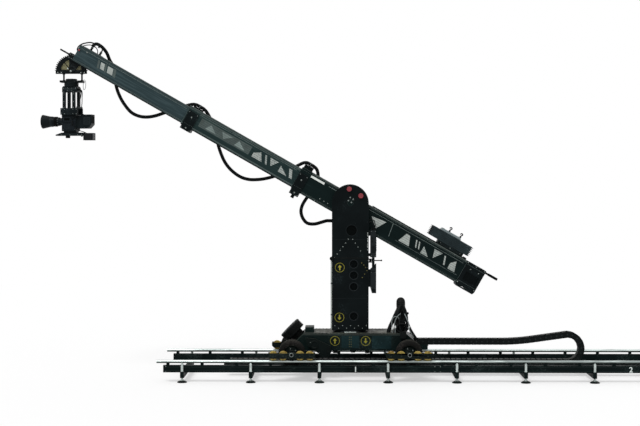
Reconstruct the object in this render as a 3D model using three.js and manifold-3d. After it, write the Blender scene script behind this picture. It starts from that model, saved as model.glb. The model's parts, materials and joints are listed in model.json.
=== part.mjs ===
// A camera jib crane: a telescoping boom on a forked post, carried by a dolly that rolls on
// straight tube track, with a levelled camera head under the nose and a drag chain to the dolly.
// Millimetres, +Z up. While it is built, X = 0 is the post's axis, Z = 0 is the floor, the boom's
// nose points to -X and the brake lever's side is -Y. The last lines centre it over its floor.

import * as THREE from 'three';
import { mergeVertices } from 'three/addons/utils/BufferGeometryUtils.js';
import Module from 'manifold-3d';

const wasm = await Module();
wasm.setup();

// Fits
const gap = 0.3;
const weld = 2;
const overrun = 10;
const thin = 1;

// How the crane stands
const boomTilt = THREE.MathUtils.degToRad(29.7);
const headTurn = THREE.MathUtils.degToRad(-9);
const pivotHeight = 1954.5;

// Track
const sections = 2;
const gauge = 1000;
const railRadius = 18;
const railTop = 242.4;
const railLength = 3000;
const railStart = -2125;
const railSides = 16;
const beamStart = -2050;
const beamWidth = 60;
const beamBottom = 108;
const beamTop = 185;
const beamGrooveHeight = 38;
const beamGrooveDepth = 5;
const postPitch = 375;
const postInset = 50;
const postLength = 34;
const postWidth = 24;
const sleeperPitch = 750;
const sleeperInset = 210;
const sleeperWidth = 42;
const sleeperBottom = 51;
const sleeperTop = 120;
const sleeperReach = 565;
const jackOffset = 546;
const sleeveRadius = 15;
const sleeveTop = 205;
const jackScrewRadius = 8;
const jackCapHeight = 9;
const padRadius = 52.5;
const padHeight = 30;
const padRim = 8;

// Cable tray and drag chain
const trayStart = -1420;
const trayEndInset = 50;
const trayWidth = 124;
const trayHeight = 30;
const traySheet = 4;
const trayLip = 6;
const chainHeight = 70;
const chainWidth = 100;
const chainPitch = 60;
const chainNotch = 9;
const chainNotchDepth = 8;
const chainFixedX = -1330;
const chainBendX = 2440;
const chainBendRadius = 156;
const chainSlope = THREE.MathUtils.degToRad(8);
const chainEaseRadius = 2500;
const chainDollyX = 760;
const chainDollyZ = 393;
const anchorLength = 22;
const anchorHeight = 72;

// Dolly
const axleX = 645;
const axleHeight = 305;
const axleRadius = 15;
const axleEnd = 572;
const collarRadius = 22;
const tyreRadius = 150;
const tyreInner = 340;
const tyreOuter = 425;
const tyreShoulder = 22;
const tyreWall = 12;
const hubRadius = 72;
const hubRecess = 13;
const deckTop = 506;
const deckFront = -512;
const deckRear = 620;
const chassisHalfWidth = 260;
const deckHalfWidth = 240;
const chassisSkirt = 488;
const armFront = -680;
const armTop = 338;
const armBottom = 268;
const armRoot = 570;
const bellyHeight = 319;
const bellyEnd = 540;
const slopeX = 708;
const slopeZ = 430;
const rearEnd = 720;
const entryStart = -505;
const entryEnd = -406;
const entryTop = 560;
const entryHalfWidth = 120;
const bracketStart = -500;
const bracketLength = 292;
const bracketBottom = 238;
const bracketHeight = 225;
const bracketOutlineShares = [[0, 1], [0.08, 0.6], [0.5, 0.3], [0.58, 0], [0.92, 0.05], [1, 0.36],
  [0.96, 0.6], [0.38, 0.95]];
const bracketInner = 270;
const bracketOuter = 300;
const bracketBoss = 60;
const shelfEnd = 880;
const shelfSheet = 12;
const shelfTabStart = 805;
const shelfTabEnd = 873;
const shelfTabBottom = 303;

// Bogies
const plateHalfLength = 257.5;
const plateBottom = 262.7;
const plateTop = 321.3;
const plateSheet = 12;
const plateOffset = 51;
const plateCorner = 22;
const bogieBlock = 30;
const bogieWheelRadius = 48;
const bogieFlange = 50.5;
const bogieWheelWidth = 36;
const bogieInnerWheel = 91.5;
const bogieOuterWheel = 200;
const bogieRimShare = 7 / 9;
const stubRadius = 7;
const stubPlay = 0.75;

// Drive motor
const motorRadius = 133.5;
const motorLength = 98;
const motorNeckRadius = 90;
const motorNeckLength = 60;
const motorEdge = 8;
const motorRise = 28;

// Umbilical tower on the deck
const towerX = 570;
const towerTop = 891;
const hoseRadius = 48;
const hoseGroove = 5;
const hoseLegOffset = 70;
const hoseRibPitch = 30;
const hoseSides = 8;

// Post
const postHalfWidth = 205;
const cheekInner = 130;
const cheekSheet = 35;
const postBottom = 534.3;
const forkDepth = 534.5;
const slewRadius = 190;
const slewTopRadius = 165;
const slewFlange = 518;
const trunnionRadius = 35;
const knobPlaces = [[-12, 154.5], [117, 79.5]];
const knobRadius = 27;
const knobHeight = 14;
const recessRadius = 62;
const recessDepth = 8;
const recessX = 14;
const recessDrop = 306.5;
const portRadius = 45;
const portDepth = 20;
const portShares = [0.109, 0.3415, 0.4315, 0.5195];
const portX = 39;
const cableRadius = 17;
const cableStep = 68;

// Control box on the post's rear edge, and the brake lever under it
const boxNear = 200;
const boxFar = 132;
const boxStart = 222;
const boxDepth = 66;
const boxHeight = 304;
const boxAboveLever = 38;
const lowBoxHeight = 332;
const lowBoxBelowLever = 30;
const strutSheet = 10;
const strutStart = 240;
const strutWidth = 30;
const earSheet = 11;
const leverDrop = 642.5;
const leverY = -150;
const leverX = 222;
const leverEnd = 345;
const leverRadius = 5;
const leverHub = 12;
const leverHubHeight = 20;
const leverBall = 12;

// Boom: u runs from the tilt axis to the nose, v is square to the boom, up
const baseStart = -1460;
const baseEnd = 660;
const baseTop = 85.5;
const baseBottom = -188;
const baseHalfWidth = 120;
const baseWall = 8;
const midStart = 250;
const midEnd = 2090;
const midTop = 61;
const midBottom = -174.5;
const midHalfWidth = 101;
const midWall = 7;
const frontStart = 1600;
const frontEnd = 3497;
const frontTop = 42.4;
const frontBottom = -163;
const frontHalfWidth = 82;
const frontWall = 6;
const tubeFlange = 22;
const webRecess = 5;
const sliderLength = 60;
const collarLength = 100;
const stripWidth = 12;
const stripHeight = 10;
const stripOffset = 85;
const stripInset = 20;
const stripEnd = -240;
const tailLength = 240;
const tailHalfWidth = 125;
const tailTop = 88;
const tailBottom = -216;
const tailChamfer = 26;
const tailSlotStart = -1589;
const tailSlotEnd = -1536;
const tailSlotHeight = 10;
const handleRadius = 11.5;
const handleEnd = -1866;
const handleHeight = 66;

// Saddles that carry the umbilical over each tube's nose end
const saddleSheet = 8;
const saddleShelf = 62;
const shelfInset = 38;
const rearSaddleStart = 545;
const rearSaddleEnd = 655;
const rearSaddleBottom = -240;
const rearSaddleTop = 20;
const rearSaddleShelfTop = 129.8;
const frontSaddleStart = 1950;
const frontSaddleEnd = 2075;
const frontSaddleBottom = -213;
const frontSaddleTop = 13;
const frontSaddleShelfTop = 78;
const footHeight = 38;
const footLength = 38;

// Counterweights
const carriageStart = -1383;
const carriageEnd = -1062;
const carriageHeight = 34;
const carriageHalfWidth = 100;
const stackStart = -1445;
const stackEnd = -920;
const stackHeight = 115;
const stackPlates = 6;
const stackHalfWidth = 150;
const stackPoint = 10;
const topPlateStart = -1280;
const topPlateEnd = -1030;
const topPlateHeight = 25;
const topPlateHalfWidth = 100;
const hookRadius = 7;
const hookTop = 320;
const hookStart = -1268;
const hookEnd = -1130;
const stopEnd = -1407;
const stopHalfWidth = 60;
const stopHeight = 20;

// Nose and level sector
const headU = 3455.6;
const headV = -271.4;
const noseEnd = 3560;
const noseTop = -90;
const noseBottom = -160;
const noseHalfWidth = 60;
const noseCheekInner = 24;
const noseCheekSheet = 12;
const noseCheekRoot = 3398;
const nosePivotRadius = 26;
const noseRodRadius = 9;
const noseRodEnd = 3675;
const noseRodV = -116;
const noseRodY = -45;
const sectorSlot = 23;
const sectorSlotRadius = 188;
const sectorTip = 183;
const sectorRoot = 168;
const sectorTeeth = 25;
const sectorHalfSheet = 20;
const windowRadius = 115;
const windowHalfSheet = 4;
const windowBorder = 14;
const barHeight = 29;
const barHalfLength = 174;
const pivotPinRadius = 12;
const pivotPlay = 1;
const hangerRadius = 9;
const hangerFront = -84;
const hangerRear = 119;
const flangeTop = -107;
const flangeSheet = 21;
const flangeFront = -119;
const flangeRear = 136;
const flangeHalfWidth = 75;
const connectorRadius = 12;
const connectorTop = 86;
const connectorPlaces = [3273, 3386];
const connectorY = 30;

// Pan housing, legs and tilt block; heights are from the level sector's pivot
const capRadius = 64;
const capHeight = 20;
const capBevel = 5;
const neckRadius = 58;
const neckPlay = 0.6;
const panRadius = 80.5;
const panBottom = -170;
const yokeBottom = -236;
const yokeHalfLength = 88;
const yokeHalfWidth = 64;
const legTop = -216;
const legBottom = -416;
const legSize = 32;
const legX = 56;
const legY = 80.3;
const legKnobHeight = -383;
const legKnobRadius = 11;
const legKnobLength = 9;
const tiltHeight = -456;
const tiltCheekFront = -96;
const tiltCheekRear = 100;
const tiltCheekBottom = -490;
const tiltCheekInner = 85;
const tiltCheekSheet = 15;
const tiltPinRadius = 14;
const tiltPlay = 0.5;
const blockBottom = -497;
const blockHalfWidth = 62;

// Camera
const bodyFront = -92;
const bodyRear = 76;
const bodyBottom = -674;
const bodyHalfWidth = 70;
const batteryEnd = 252;
const batteryTop = -488;
const batteryBottom = -644;
const batteryStep = 118;
const batteryHalfWidth = 58;
const batteryChamfer = 42;
const lensHeight = -565;
const lensRadii = { mount: 41, barrel: 48, seat: 46, neck: 55, shoulder: 59, hood: 78, rim: 72 };
const lensStations = { barrel: -134, ringRear: -162, ringFront: -194, shoulder: -249, hood: -304, rim: -340 };
const lensBore = 60;
const lensBoreDepth = 26;
const focusRadius = 56;
const focusTeeth = 24;
const focusPlay = 0.5;
const basePlateFront = -170;
const basePlateRear = 155;
const basePlateTop = -690;
const basePlateSheet = 35;
const basePlateRamp = 70;
const basePlateEdge = 12;
const basePlateHalfWidth = 55;
const riserFront = -80;
const riserRear = 70;
const riserHalfWidth = 40;
const mountKnobX = -44;
const mountKnobRadius = 24;
const mountKnobHeight = 26;
const monitorEnd = 260;
const monitorTop = -695;
const monitorBottom = -776;
const monitorHalfWidth = 50;

// Cable routes beside the boom, as [u, y, v]
const frontRoute = [
  [3386, 30, 86.3], [3386, 30, 112], [3364, 34, 136], [3301, 48, 136], [3230, 82, 107],
  [3160, 108, 50], [3080, 107, 2], [3012, 107, -84], [2958, 107, -162], [2873, 108, -240],
  [2771, 111, -302], [2655, 113, -343], [2564, 115, -337], [2489, 117, -307], [2413, 120, -251],
  [2347, 123, -180], [2290, 126, -110], [2215, 128, -30], [2138, 130, 48], [2092, 130, 85],
  [2050, 130, 98.4], [2014, 130, 98.4],
];
const midRoute = [
  [2010, 130, 98.4], [1974, 130, 98.4], [1930, 130, 88], [1858, 130, 48], [1770, 130, -16],
  [1690, 131, -92], [1622, 132, -175], [1551, 134, -241], [1459, 136, -308], [1348, 139, -352],
  [1220, 142, -365], [1126, 144, -343], [1045, 146, -299], [970, 148, -243], [888, 149, -163],
  [820, 150, -80], [765, 150, 0], [716, 150, 78], [676, 150, 131], [640, 150, 149.4],
  [602, 150, 149.4],
];
const rearRoute = [
  [598, 150, 149.4], [560, 150, 149.4], [512, 150, 136], [462, 150, 76], [434, 150, -20],
  [436, 150, -112], [453, 150, -208], [453, 150, -308], [428, 149, -374], [374, 148, -424],
  [307, 147.5, -446], [231, 147.5, -415], [165, 147.5, -352], [126.5, 147.5, -313.4],
  [104.7, 147.5, -300.9], [74.8, 147.5, -283.9],
];

// Shape helpers

function solidOf(geometry) {
  const bare = geometry.clone();
  bare.deleteAttribute('normal');
  bare.deleteAttribute('uv');
  const merged = mergeVertices(bare, gap / 100);
  const place = merged.attributes.position;
  const corners = [];
  const edgeA = new THREE.Vector3();
  const edgeB = new THREE.Vector3();
  const first = new THREE.Vector3();
  let volume = 0;
  for (let at = 0; at < merged.index.count; at += 3) {
    const [a, b, c] = [0, 1, 2].map((k) => merged.index.getX(at + k));
    if (a === b || b === c || c === a) continue;
    corners.push(a, b, c);
    first.fromBufferAttribute(place, a);
    edgeA.fromBufferAttribute(place, b);
    edgeB.fromBufferAttribute(place, c);
    volume += first.dot(edgeA.cross(edgeB));
  }
  if (volume < 0) corners.reverse();
  return new wasm.Manifold(new wasm.Mesh({
    numProp: 3,
    vertProperties: new Float32Array(place.array),
    triVerts: new Uint32Array(corners),
  }));
}

function geometryOf(solid) {
  const mesh = solid.getMesh();
  const geometry = new THREE.BufferGeometry();
  geometry.setAttribute('position', new THREE.Float32BufferAttribute(mesh.vertProperties, 3));
  geometry.setIndex(Array.from(mesh.triVerts));
  geometry.computeVertexNormals();
  return geometry;
}

// The corner radius of a faceted bore whose flats clear a shaft by the gap
const boreFor = (shaftRadius, sides) => (shaftRadius + gap) / Math.cos(Math.PI / sides);

const join = (...solids) => solids.reduce((whole, piece) => whole.add(piece));

function moved(solid, x, y, z) {
  return solid.translate([x, y, z]);
}

function box(x0, x1, y0, y1, z0, z1) {
  const geometry = new THREE.BoxGeometry(x1 - x0, y1 - y0, z1 - z0);
  geometry.translate((x0 + x1) / 2, (y0 + y1) / 2, (z0 + z1) / 2);
  return solidOf(geometry);
}

// A round bar from one point to another
function bar(start, end, radius, sides = 16, endRadius = radius) {
  const a = new THREE.Vector3(...start);
  const b = new THREE.Vector3(...end);
  const length = a.distanceTo(b);
  const geometry = new THREE.CylinderGeometry(endRadius, radius, length, sides);
  const up = new THREE.Vector3(0, 1, 0);
  geometry.applyQuaternion(new THREE.Quaternion().setFromUnitVectors(up, b.clone().sub(a).normalize()));
  const middle = a.lerp(b, 1 / 2);
  geometry.translate(middle.x, middle.y, middle.z);
  return solidOf(geometry);
}

function shapeOf(outline) {
  return new THREE.Shape(outline.map(([across, up]) => new THREE.Vector2(across, up)));
}

// An outline of [x, z] points between two y places
function plate(outline, y0, y1) {
  const geometry = new THREE.ExtrudeGeometry(shapeOf(outline), { depth: y1 - y0, bevelEnabled: false });
  geometry.rotateX(Math.PI / 2);
  geometry.translate(0, y1, 0);
  return solidOf(geometry);
}

// A section of [y, z] points between two x places
function beam(section, x0, x1) {
  const geometry = new THREE.ExtrudeGeometry(shapeOf(section), { depth: x1 - x0, bevelEnabled: false });
  const turn = new THREE.Matrix4().makeBasis(
    new THREE.Vector3(0, 1, 0), new THREE.Vector3(0, 0, 1), new THREE.Vector3(1, 0, 0));
  geometry.applyMatrix4(turn);
  geometry.translate(x0, 0, 0);
  return solidOf(geometry);
}

// A closed profile of [radius, along] points turned about an axis
function turned(profile, axis, sides) {
  const points = profile.map(([radius, along]) => new THREE.Vector2(radius, along));
  const geometry = new THREE.LatheGeometry([...points, points[0].clone()], sides);
  if (axis === 'x') geometry.rotateZ(-Math.PI / 2);
  if (axis === 'z') geometry.rotateX(Math.PI / 2);
  return solidOf(geometry);
}

function arc(centreX, centreZ, radius, from, to, steps) {
  return Array.from({ length: steps + 1 }, (_, k) => {
    const angle = from + (to - from) * (k / steps);
    return [centreX + radius * Math.cos(angle), centreZ + radius * Math.sin(angle)];
  });
}

// A tube of rings along a smooth route, with its own radius at each ring
function hose(points, headings, radii, sides) {
  const vertices = [];
  const faces = [];
  const side = new THREE.Vector3();
  points.forEach((point, k) => {
    const along = headings[k];
    if (k === 0) side.set(along.y, along.z, along.x).cross(along).normalize();
    side.sub(along.clone().multiplyScalar(side.dot(along))).normalize();
    const other = along.clone().cross(side);
    for (let s = 0; s < sides; s += 1) {
      const angle = 2 * Math.PI * (s / sides);
      const corner = point.clone()
        .addScaledVector(side, radii[k] * Math.cos(angle))
        .addScaledVector(other, radii[k] * Math.sin(angle));
      vertices.push(corner.x, corner.y, corner.z);
    }
  });
  for (let k = 0; k + 1 < points.length; k += 1) {
    for (let s = 0; s < sides; s += 1) {
      const next = (s + 1) % sides;
      const [a, b] = [k * sides + s, k * sides + next];
      faces.push(a, b, b + sides, a, b + sides, a + sides);
    }
  }
  const last = (points.length - 1) * sides;
  for (let s = 1; s + 1 < sides; s += 1) {
    faces.push(0, s + 1, s);
    faces.push(last, last + s, last + s + 1);
  }
  const geometry = new THREE.BufferGeometry();
  geometry.setAttribute('position', new THREE.Float32BufferAttribute(vertices, 3));
  geometry.setIndex(faces);
  return solidOf(geometry);
}

// Finishes
const paint = (color, roughness, metalness) => new THREE.MeshStandardMaterial({ color, roughness, metalness });
const alloy = paint(0xd2dcd9, 0.35, 0.9);
const trackBlack = paint(0x151c1b, 0.5, 0.2);
const sheetSteel = paint(0x2a3030, 0.5, 0.6);
const chainPlastic = paint(0x1b1f20, 0.6, 0);
const chassisPaint = paint(0x2b2722, 0.55, 0.1);
const bogiePaint = paint(0x1e2423, 0.5, 0.2);
const yellowPolymer = paint(0xc4a23c, 0.5, 0);
const tyreRubber = paint(0x3a332e, 0.85, 0);
const postPaint = paint(0x151a1b, 0.45, 0.2);
const boomPaint = paint(0x22312f, 0.45, 0.3);
const noseAlloy = paint(0x4a5154, 0.4, 0.6);
const sectorPaint = paint(0x82825f, 0.5, 0.2);
const weightPaint = paint(0x252c2e, 0.55, 0.3);
const headBlack = paint(0x17191b, 0.4, 0.2);
const cableBlack = paint(0x121415, 0.7, 0);

const crane = new THREE.Group();
const dolly = new THREE.Group();
const boom = new THREE.Group();
const level = new THREE.Group();
const pan = new THREE.Group();
crane.add(dolly, boom);
boom.add(level);
level.add(pan);
boom.position.set(0, 0, pivotHeight);
boom.rotation.y = boomTilt;
level.position.set(-headU, 0, headV);
level.rotation.y = -boomTilt;
pan.rotation.z = headTurn;

function add(name, group, solid, material) {
  const mesh = new THREE.Mesh(geometryOf(solid), material);
  mesh.name = name;
  group.add(mesh);
  return mesh;
}

// Track: each section is a ladder of two beams on four sleepers, with a screw jack at each
// sleeper's end, and short posts that hold the rail tube above the beam.

const railCentre = railTop - railRadius;

function rail(section, side) {
  const start = railStart + section * railLength;
  const y = side * gauge / 2;
  return bar([start, y, railCentre], [start + railLength - gap, y, railCentre], railRadius, railSides);
}

function jack(x, side) {
  const y = side * jackOffset;
  const pad = turned([[0, 0], [padRadius, 0], [padRadius, padRim], [sleeveRadius, padHeight], [0, padHeight]], 'z', 8);
  return join(
    moved(pad, x, y, 0),
    bar([x, y, padHeight - weld], [x, y, sleeveTop + jackCapHeight], jackScrewRadius, 6),
    bar([x, y, sleeperTop - weld], [x, y, sleeveTop], sleeveRadius, 8),
  );
}

function sectionBeam(start, side) {
  const middle = side * gauge / 2;
  const outer = middle + side * beamWidth / 2;
  const end = start + railLength - gap;
  const grooveMiddle = (beamBottom + beamTop) / 2;
  const grooveFloor = outer - side * beamGrooveDepth;
  const [near, far] = [grooveFloor, outer + side * overrun].sort((a, b) => a - b);
  let solid = box(start, end, middle - beamWidth / 2, middle + beamWidth / 2, beamBottom, beamTop);
  solid = solid.subtract(box(start - overrun, end + overrun, near, far,
    grooveMiddle - beamGrooveHeight / 2, grooveMiddle + beamGrooveHeight / 2));
  for (let x = start + postInset; x < end - postLength; x += postPitch) {
    solid = solid.add(box(x - postLength / 2, x + postLength / 2, middle - postWidth / 2,
      middle + postWidth / 2, beamTop - weld, railTop - 2 * railRadius - gap));
  }
  return solid;
}

function trackFrame(section) {
  const start = beamStart + section * railLength;
  let solid = join(sectionBeam(start, -1), sectionBeam(start, 1));
  for (let x = start + sleeperInset; x < start + railLength; x += sleeperPitch) {
    solid = solid.add(box(x - sleeperWidth / 2, x + sleeperWidth / 2, -sleeperReach, sleeperReach,
      sleeperBottom, sleeperTop));
    solid = join(solid, jack(x, -1), jack(x, 1));
  }
  return solid;
}

['front', 'rear'].slice(0, sections).forEach((place, section) => {
  add(`track_frame_${place}`, crane, trackFrame(section), trackBlack);
  add(`rail_near_${place}`, crane, rail(section, -1), alloy);
  add(`rail_far_${place}`, crane, rail(section, 1), alloy);
});

// Cable tray along the sleepers, with the drag chain's fixed anchor at its front end

const trayEnd = beamStart + sections * railLength - trayEndInset;
const trayBottom = sleeperTop + gap;
const trayFloor = trayBottom + traySheet;
const chainLowZ = trayFloor + gap + chainHeight / 2;

function cableTray() {
  const half = trayWidth / 2;
  const channel = [[-half, trayBottom], [half, trayBottom], [half, trayBottom + trayHeight],
    [half - trayLip, trayBottom + trayHeight], [half - trayLip, trayFloor],
    [trayLip - half, trayFloor], [trayLip - half, trayBottom + trayHeight],
    [-half, trayBottom + trayHeight]];
  const anchorFace = chainFixedX - gap;
  const anchor = box(anchorFace - anchorLength, anchorFace, -chainWidth / 2, chainWidth / 2,
    trayFloor - weld, trayFloor + anchorHeight);
  return join(beam(channel, trayStart, trayEnd), anchor);
}

add('cable_tray', crane, cableTray(), sheetSteel);

// Drag chain: its centre line runs along the tray, round the bend and back to the dolly. Every
// link is a pitch long, and a V notch at each pivot on both faces parts it from the next.

function chainStretches() {
  const turn = Math.PI + chainSlope;
  const bendTopZ = chainLowZ + chainBendRadius * (1 + Math.cos(chainSlope));
  const drop = bendTopZ - chainDollyZ - chainEaseRadius * (1 - Math.cos(chainSlope));
  const slant = drop / Math.sin(chainSlope);
  const levelStart = chainBendX - chainBendRadius * Math.sin(chainSlope)
    - slant * Math.cos(chainSlope) - chainEaseRadius * Math.sin(chainSlope);
  return [
    { length: chainBendX - chainFixedX, bend: 0 },
    { length: chainBendRadius * turn, bend: 1 / chainBendRadius },
    { length: slant, bend: 0 },
    { length: chainEaseRadius * chainSlope, bend: -1 / chainEaseRadius },
    { length: levelStart - chainDollyX, bend: 0 },
  ];
}

const chainParts = chainStretches();
const chainLength = chainParts.reduce((sum, part) => sum + part.length, 0);

// The chain's place and heading at a distance from its fixed end
function chainAt(distance) {
  let [x, z, heading] = [chainFixedX, chainLowZ, 0];
  let left = distance;
  for (const { length, bend } of chainParts) {
    const run = Math.min(left, length);
    if (bend === 0) {
      x += run * Math.cos(heading);
      z += run * Math.sin(heading);
    } else {
      const after = heading + run * bend;
      x += (Math.sin(after) - Math.sin(heading)) / bend;
      z += (Math.cos(heading) - Math.cos(after)) / bend;
      heading = after;
    }
    left -= run;
    if (left <= 0) break;
  }
  return { x, z, heading };
}

function chainPoint(distance, offset) {
  const { x, z, heading } = chainAt(distance);
  return [x - offset * Math.sin(heading), z + offset * Math.cos(heading)];
}

function dragChain() {
  const links = Math.floor(chainLength / chainPitch);
  const upper = [];
  const lower = [];
  const half = chainHeight / 2;
  upper.push(chainPoint(0, half));
  lower.push(chainPoint(0, -half));
  for (let k = 1; k <= links; k += 1) {
    const pivot = k * chainPitch;
    if (pivot + chainNotch > chainLength) break;
    [[-chainNotch / 2, 0], [0, chainNotchDepth], [chainNotch / 2, 0]].forEach(([step, depth]) => {
      upper.push(chainPoint(pivot + step, half - depth));
      lower.push(chainPoint(pivot + step, depth - half));
    });
  }
  upper.push(chainPoint(chainLength, half));
  lower.push(chainPoint(chainLength, -half));
  return plate([...lower, ...upper.reverse()], -chainWidth / 2, chainWidth / 2);
}

add('drag_chain', crane, dragChain(), chainPlastic);

// Dolly chassis with its fixed axles, deck entry box, drive bracket and chain shelf

const slopeLift = deckTop - armTop;
const bogieY = gauge / 2;
const plateOuterY = bogieY + plateOffset + plateSheet / 2;

function axle(x) {
  const rings = [-1, 1].map((side) => join(
    bar([x, side * (plateOuterY + gap), axleHeight], [x, side * axleEnd, axleHeight], collarRadius, 12),
    bar([x, side * (chassisHalfWidth - overrun), axleHeight], [x, side * (tyreInner - gap), axleHeight],
      collarRadius, 12),
  ));
  return join(bar([x, -axleEnd, axleHeight], [x, axleEnd, axleHeight], axleRadius, 12), ...rings);
}

function chassis() {
  const side = [[deckFront, deckTop], [armFront, armTop], [armFront, armBottom], [-armRoot, armBottom],
    [-bellyEnd, bellyHeight], [bellyEnd, bellyHeight], [armRoot, armBottom], [rearEnd, armBottom],
    [rearEnd, armTop], [slopeX, slopeZ], [deckRear, deckTop]];
  const cross = [[-chassisHalfWidth, 0], [chassisHalfWidth, 0], [chassisHalfWidth, chassisSkirt],
    [deckHalfWidth, deckTop], [deckHalfWidth, deckTop + overrun], [-deckHalfWidth, deckTop + overrun],
    [-deckHalfWidth, deckTop], [-chassisHalfWidth, chassisSkirt]];
  const body = plate(side, -chassisHalfWidth, chassisHalfWidth)
    .intersect(beam(cross, armFront - overrun, rearEnd + overrun));
  const entry = box(entryStart, entryEnd, -entryHalfWidth, entryHalfWidth, deckTop - weld, entryTop);
  const plateOutline = bracketOutlineShares.map(([across, up]) => [bracketStart + across * bracketLength,
    bracketBottom + up * bracketHeight]);
  const middle = plateOutline.reduce(([x, z], [px, pz]) => [x + px / plateOutline.length,
    z + pz / plateOutline.length], [0, 0]);
  const bracket = plate(plateOutline, -bracketOuter, -bracketInner);
  const boss = bar([middle[0], -bracketInner - weld, middle[1]],
    [middle[0], -chassisHalfWidth + weld, middle[1]], bracketBoss, 16);
  const shelfTop = chainDollyZ - chainHeight / 2 - gap;
  const shelf = box(rearEnd - overrun, shelfEnd, -chainWidth / 2, chainWidth / 2,
    shelfTop - shelfSheet, shelfTop);
  const tab = box(shelfTabStart, shelfTabEnd, -chainWidth / 2, chainWidth / 2,
    shelfTabBottom, shelfTop - weld);
  return join(body, entry, bracket, boss, shelf, tab, axle(-axleX), axle(axleX));
}

add('chassis', dolly, chassis(), chassisPaint);

function driveMotor() {
  const length = motorNeckLength + motorLength;
  return turned([[0, 0], [motorNeckRadius, 0], [motorNeckRadius, motorNeckLength],
    [motorRadius, motorNeckLength], [motorRadius, length - motorEdge],
    [motorRadius - motorEdge, length], [0, length]], 'z', 24);
}

const motor = new THREE.Group();
const slopeAngle = Math.atan2(deckFront - armFront, slopeLift);
motor.rotation.y = slopeAngle - Math.PI / 2;
const slopeNormal = new THREE.Vector3(Math.sin(motor.rotation.y), 0, Math.cos(motor.rotation.y));
const slopeUphill = new THREE.Vector3(slopeNormal.z, 0, -slopeNormal.x);
motor.position.set((deckFront + armFront) / 2, 0, (deckTop + armTop) / 2);
motor.position.addScaledVector(slopeUphill, motorRise).addScaledVector(slopeNormal, gap);
dolly.add(motor);
add('drive_motor', motor, driveMotor(), bogiePaint);

// The umbilical leaves the deck in a ribbed hose that stands as an arch across the chassis

function umbilicalTower() {
  const bend = hoseLegOffset;
  const springing = towerTop - hoseRadius - bend;
  const foot = deckTop + gap;
  const legLength = springing - foot;
  const arch = Math.PI * bend;
  const whole = 2 * legLength + arch;
  const ribs = Math.round(whole / hoseRibPitch);
  const points = [];
  const headings = [];
  const radii = [];
  for (let k = 0; k <= 2 * ribs; k += 1) {
    const distance = whole * (k / (2 * ribs));
    const rise = THREE.MathUtils.clamp(distance, 0, legLength);
    const fall = THREE.MathUtils.clamp(distance - legLength - arch, 0, legLength);
    const angle = Math.PI - THREE.MathUtils.clamp((distance - legLength) / bend, 0, Math.PI);
    points.push(new THREE.Vector3(towerX, bend * Math.cos(angle),
      foot + rise - fall + bend * Math.sin(angle)));
    headings.push(new THREE.Vector3(0, Math.sin(angle), -Math.cos(angle)));
    radii.push(k % 2 === 0 ? hoseRadius : hoseRadius - hoseGroove);
  }
  return hose(points, headings, radii, hoseSides);
}

add('umbilical_tower', dolly, umbilicalTower(), cableBlack);

// Bogies: two side plates, a block on the dolly's axle and four stub axles, with four wheels

const wheelHeight = railTop + gap + bogieWheelRadius;
const wheelPlaces = [-bogieOuterWheel, -bogieInnerWheel, bogieInnerWheel, bogieOuterWheel];

function bogie(x, side) {
  const c = plateCorner;
  const outline = [[-plateHalfLength, plateBottom + c], [c - plateHalfLength, plateBottom],
    [plateHalfLength - c, plateBottom], [plateHalfLength, plateBottom + c],
    [plateHalfLength, plateTop], [-plateHalfLength, plateTop]];
  const y = side * bogieY;
  const sheets = [-1, 1].map((face) => {
    const middle = y + face * plateOffset;
    return plate(outline, middle - plateSheet / 2, middle + plateSheet / 2);
  });
  const reach = plateOffset + plateSheet / 2;
  const block = box(-bogieBlock, bogieBlock, y - plateOffset, y + plateOffset,
    plateBottom + c, plateTop - weld);
  const stubs = wheelPlaces.map((place) => bar([place, y - reach, wheelHeight],
    [place, y + reach, wheelHeight], stubRadius, 8));
  const bore = bar([0, y - reach - overrun, axleHeight], [0, y + reach + overrun, axleHeight],
    axleRadius + 2 * gap, 12);
  return moved(join(...sheets, block, ...stubs).subtract(bore), x, 0, 0);
}

function bogieWheel() {
  const half = bogieWheelWidth / 2;
  const bore = stubRadius + stubPlay;
  const rim = half * bogieRimShare;
  return turned([[bore, -half], [bogieFlange, -rim], [bogieWheelRadius - gap, 0], [bogieFlange, rim],
    [bore, half]], 'y', 12);
}

[['front', -1], ['rear', 1]].forEach(([end, lengthwise]) => {
  [['near', -1], ['far', 1]].forEach(([sideName, side]) => {
    const x = lengthwise * axleX;
    add(`bogie_${end}_${sideName}`, dolly, bogie(x, side), bogiePaint);
    wheelPlaces.forEach((place, k) => {
      const wheel = add(`bogie_wheel_${end}_${sideName}_${k + 1}`, dolly, bogieWheel(), yellowPolymer);
      wheel.position.set(x + place, side * bogieY, wheelHeight);
    });
  });
});

// Road wheels for moving the dolly off its track

function roadWheel() {
  const half = (tyreOuter - tyreInner) / 2;
  const bore = boreFor(axleRadius, 14);
  return turned([[bore, hubRecess - half], [hubRadius, hubRecess - half], [hubRadius + tyreWall, -half],
    [tyreRadius - tyreWall, -half], [tyreRadius, -tyreShoulder], [tyreRadius, tyreShoulder],
    [tyreRadius - tyreWall, half], [hubRadius + tyreWall, half], [hubRadius, half - hubRecess],
    [bore, half - hubRecess]], 'y', 14);
}

[['front', -1], ['rear', 1]].forEach(([end, lengthwise]) => {
  [['near', -1], ['far', 1]].forEach(([sideName, side]) => {
    const wheel = add(`road_wheel_${end}_${sideName}`, dolly, roadWheel(), tyreRubber);
    wheel.position.set(lengthwise * axleX, side * (tyreInner + tyreOuter) / 2, axleHeight);
  });
});

// Post: a core box between two tall cheeks, whose tops fork round the boom's trunnions

const cheekOuter = cheekInner + cheekSheet;
const forkFloor = pivotHeight - forkDepth;
const recessHeight = pivotHeight - recessDrop;
const portHeights = portShares.map((share) => postBottom + share * (pivotHeight - postBottom));

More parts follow.
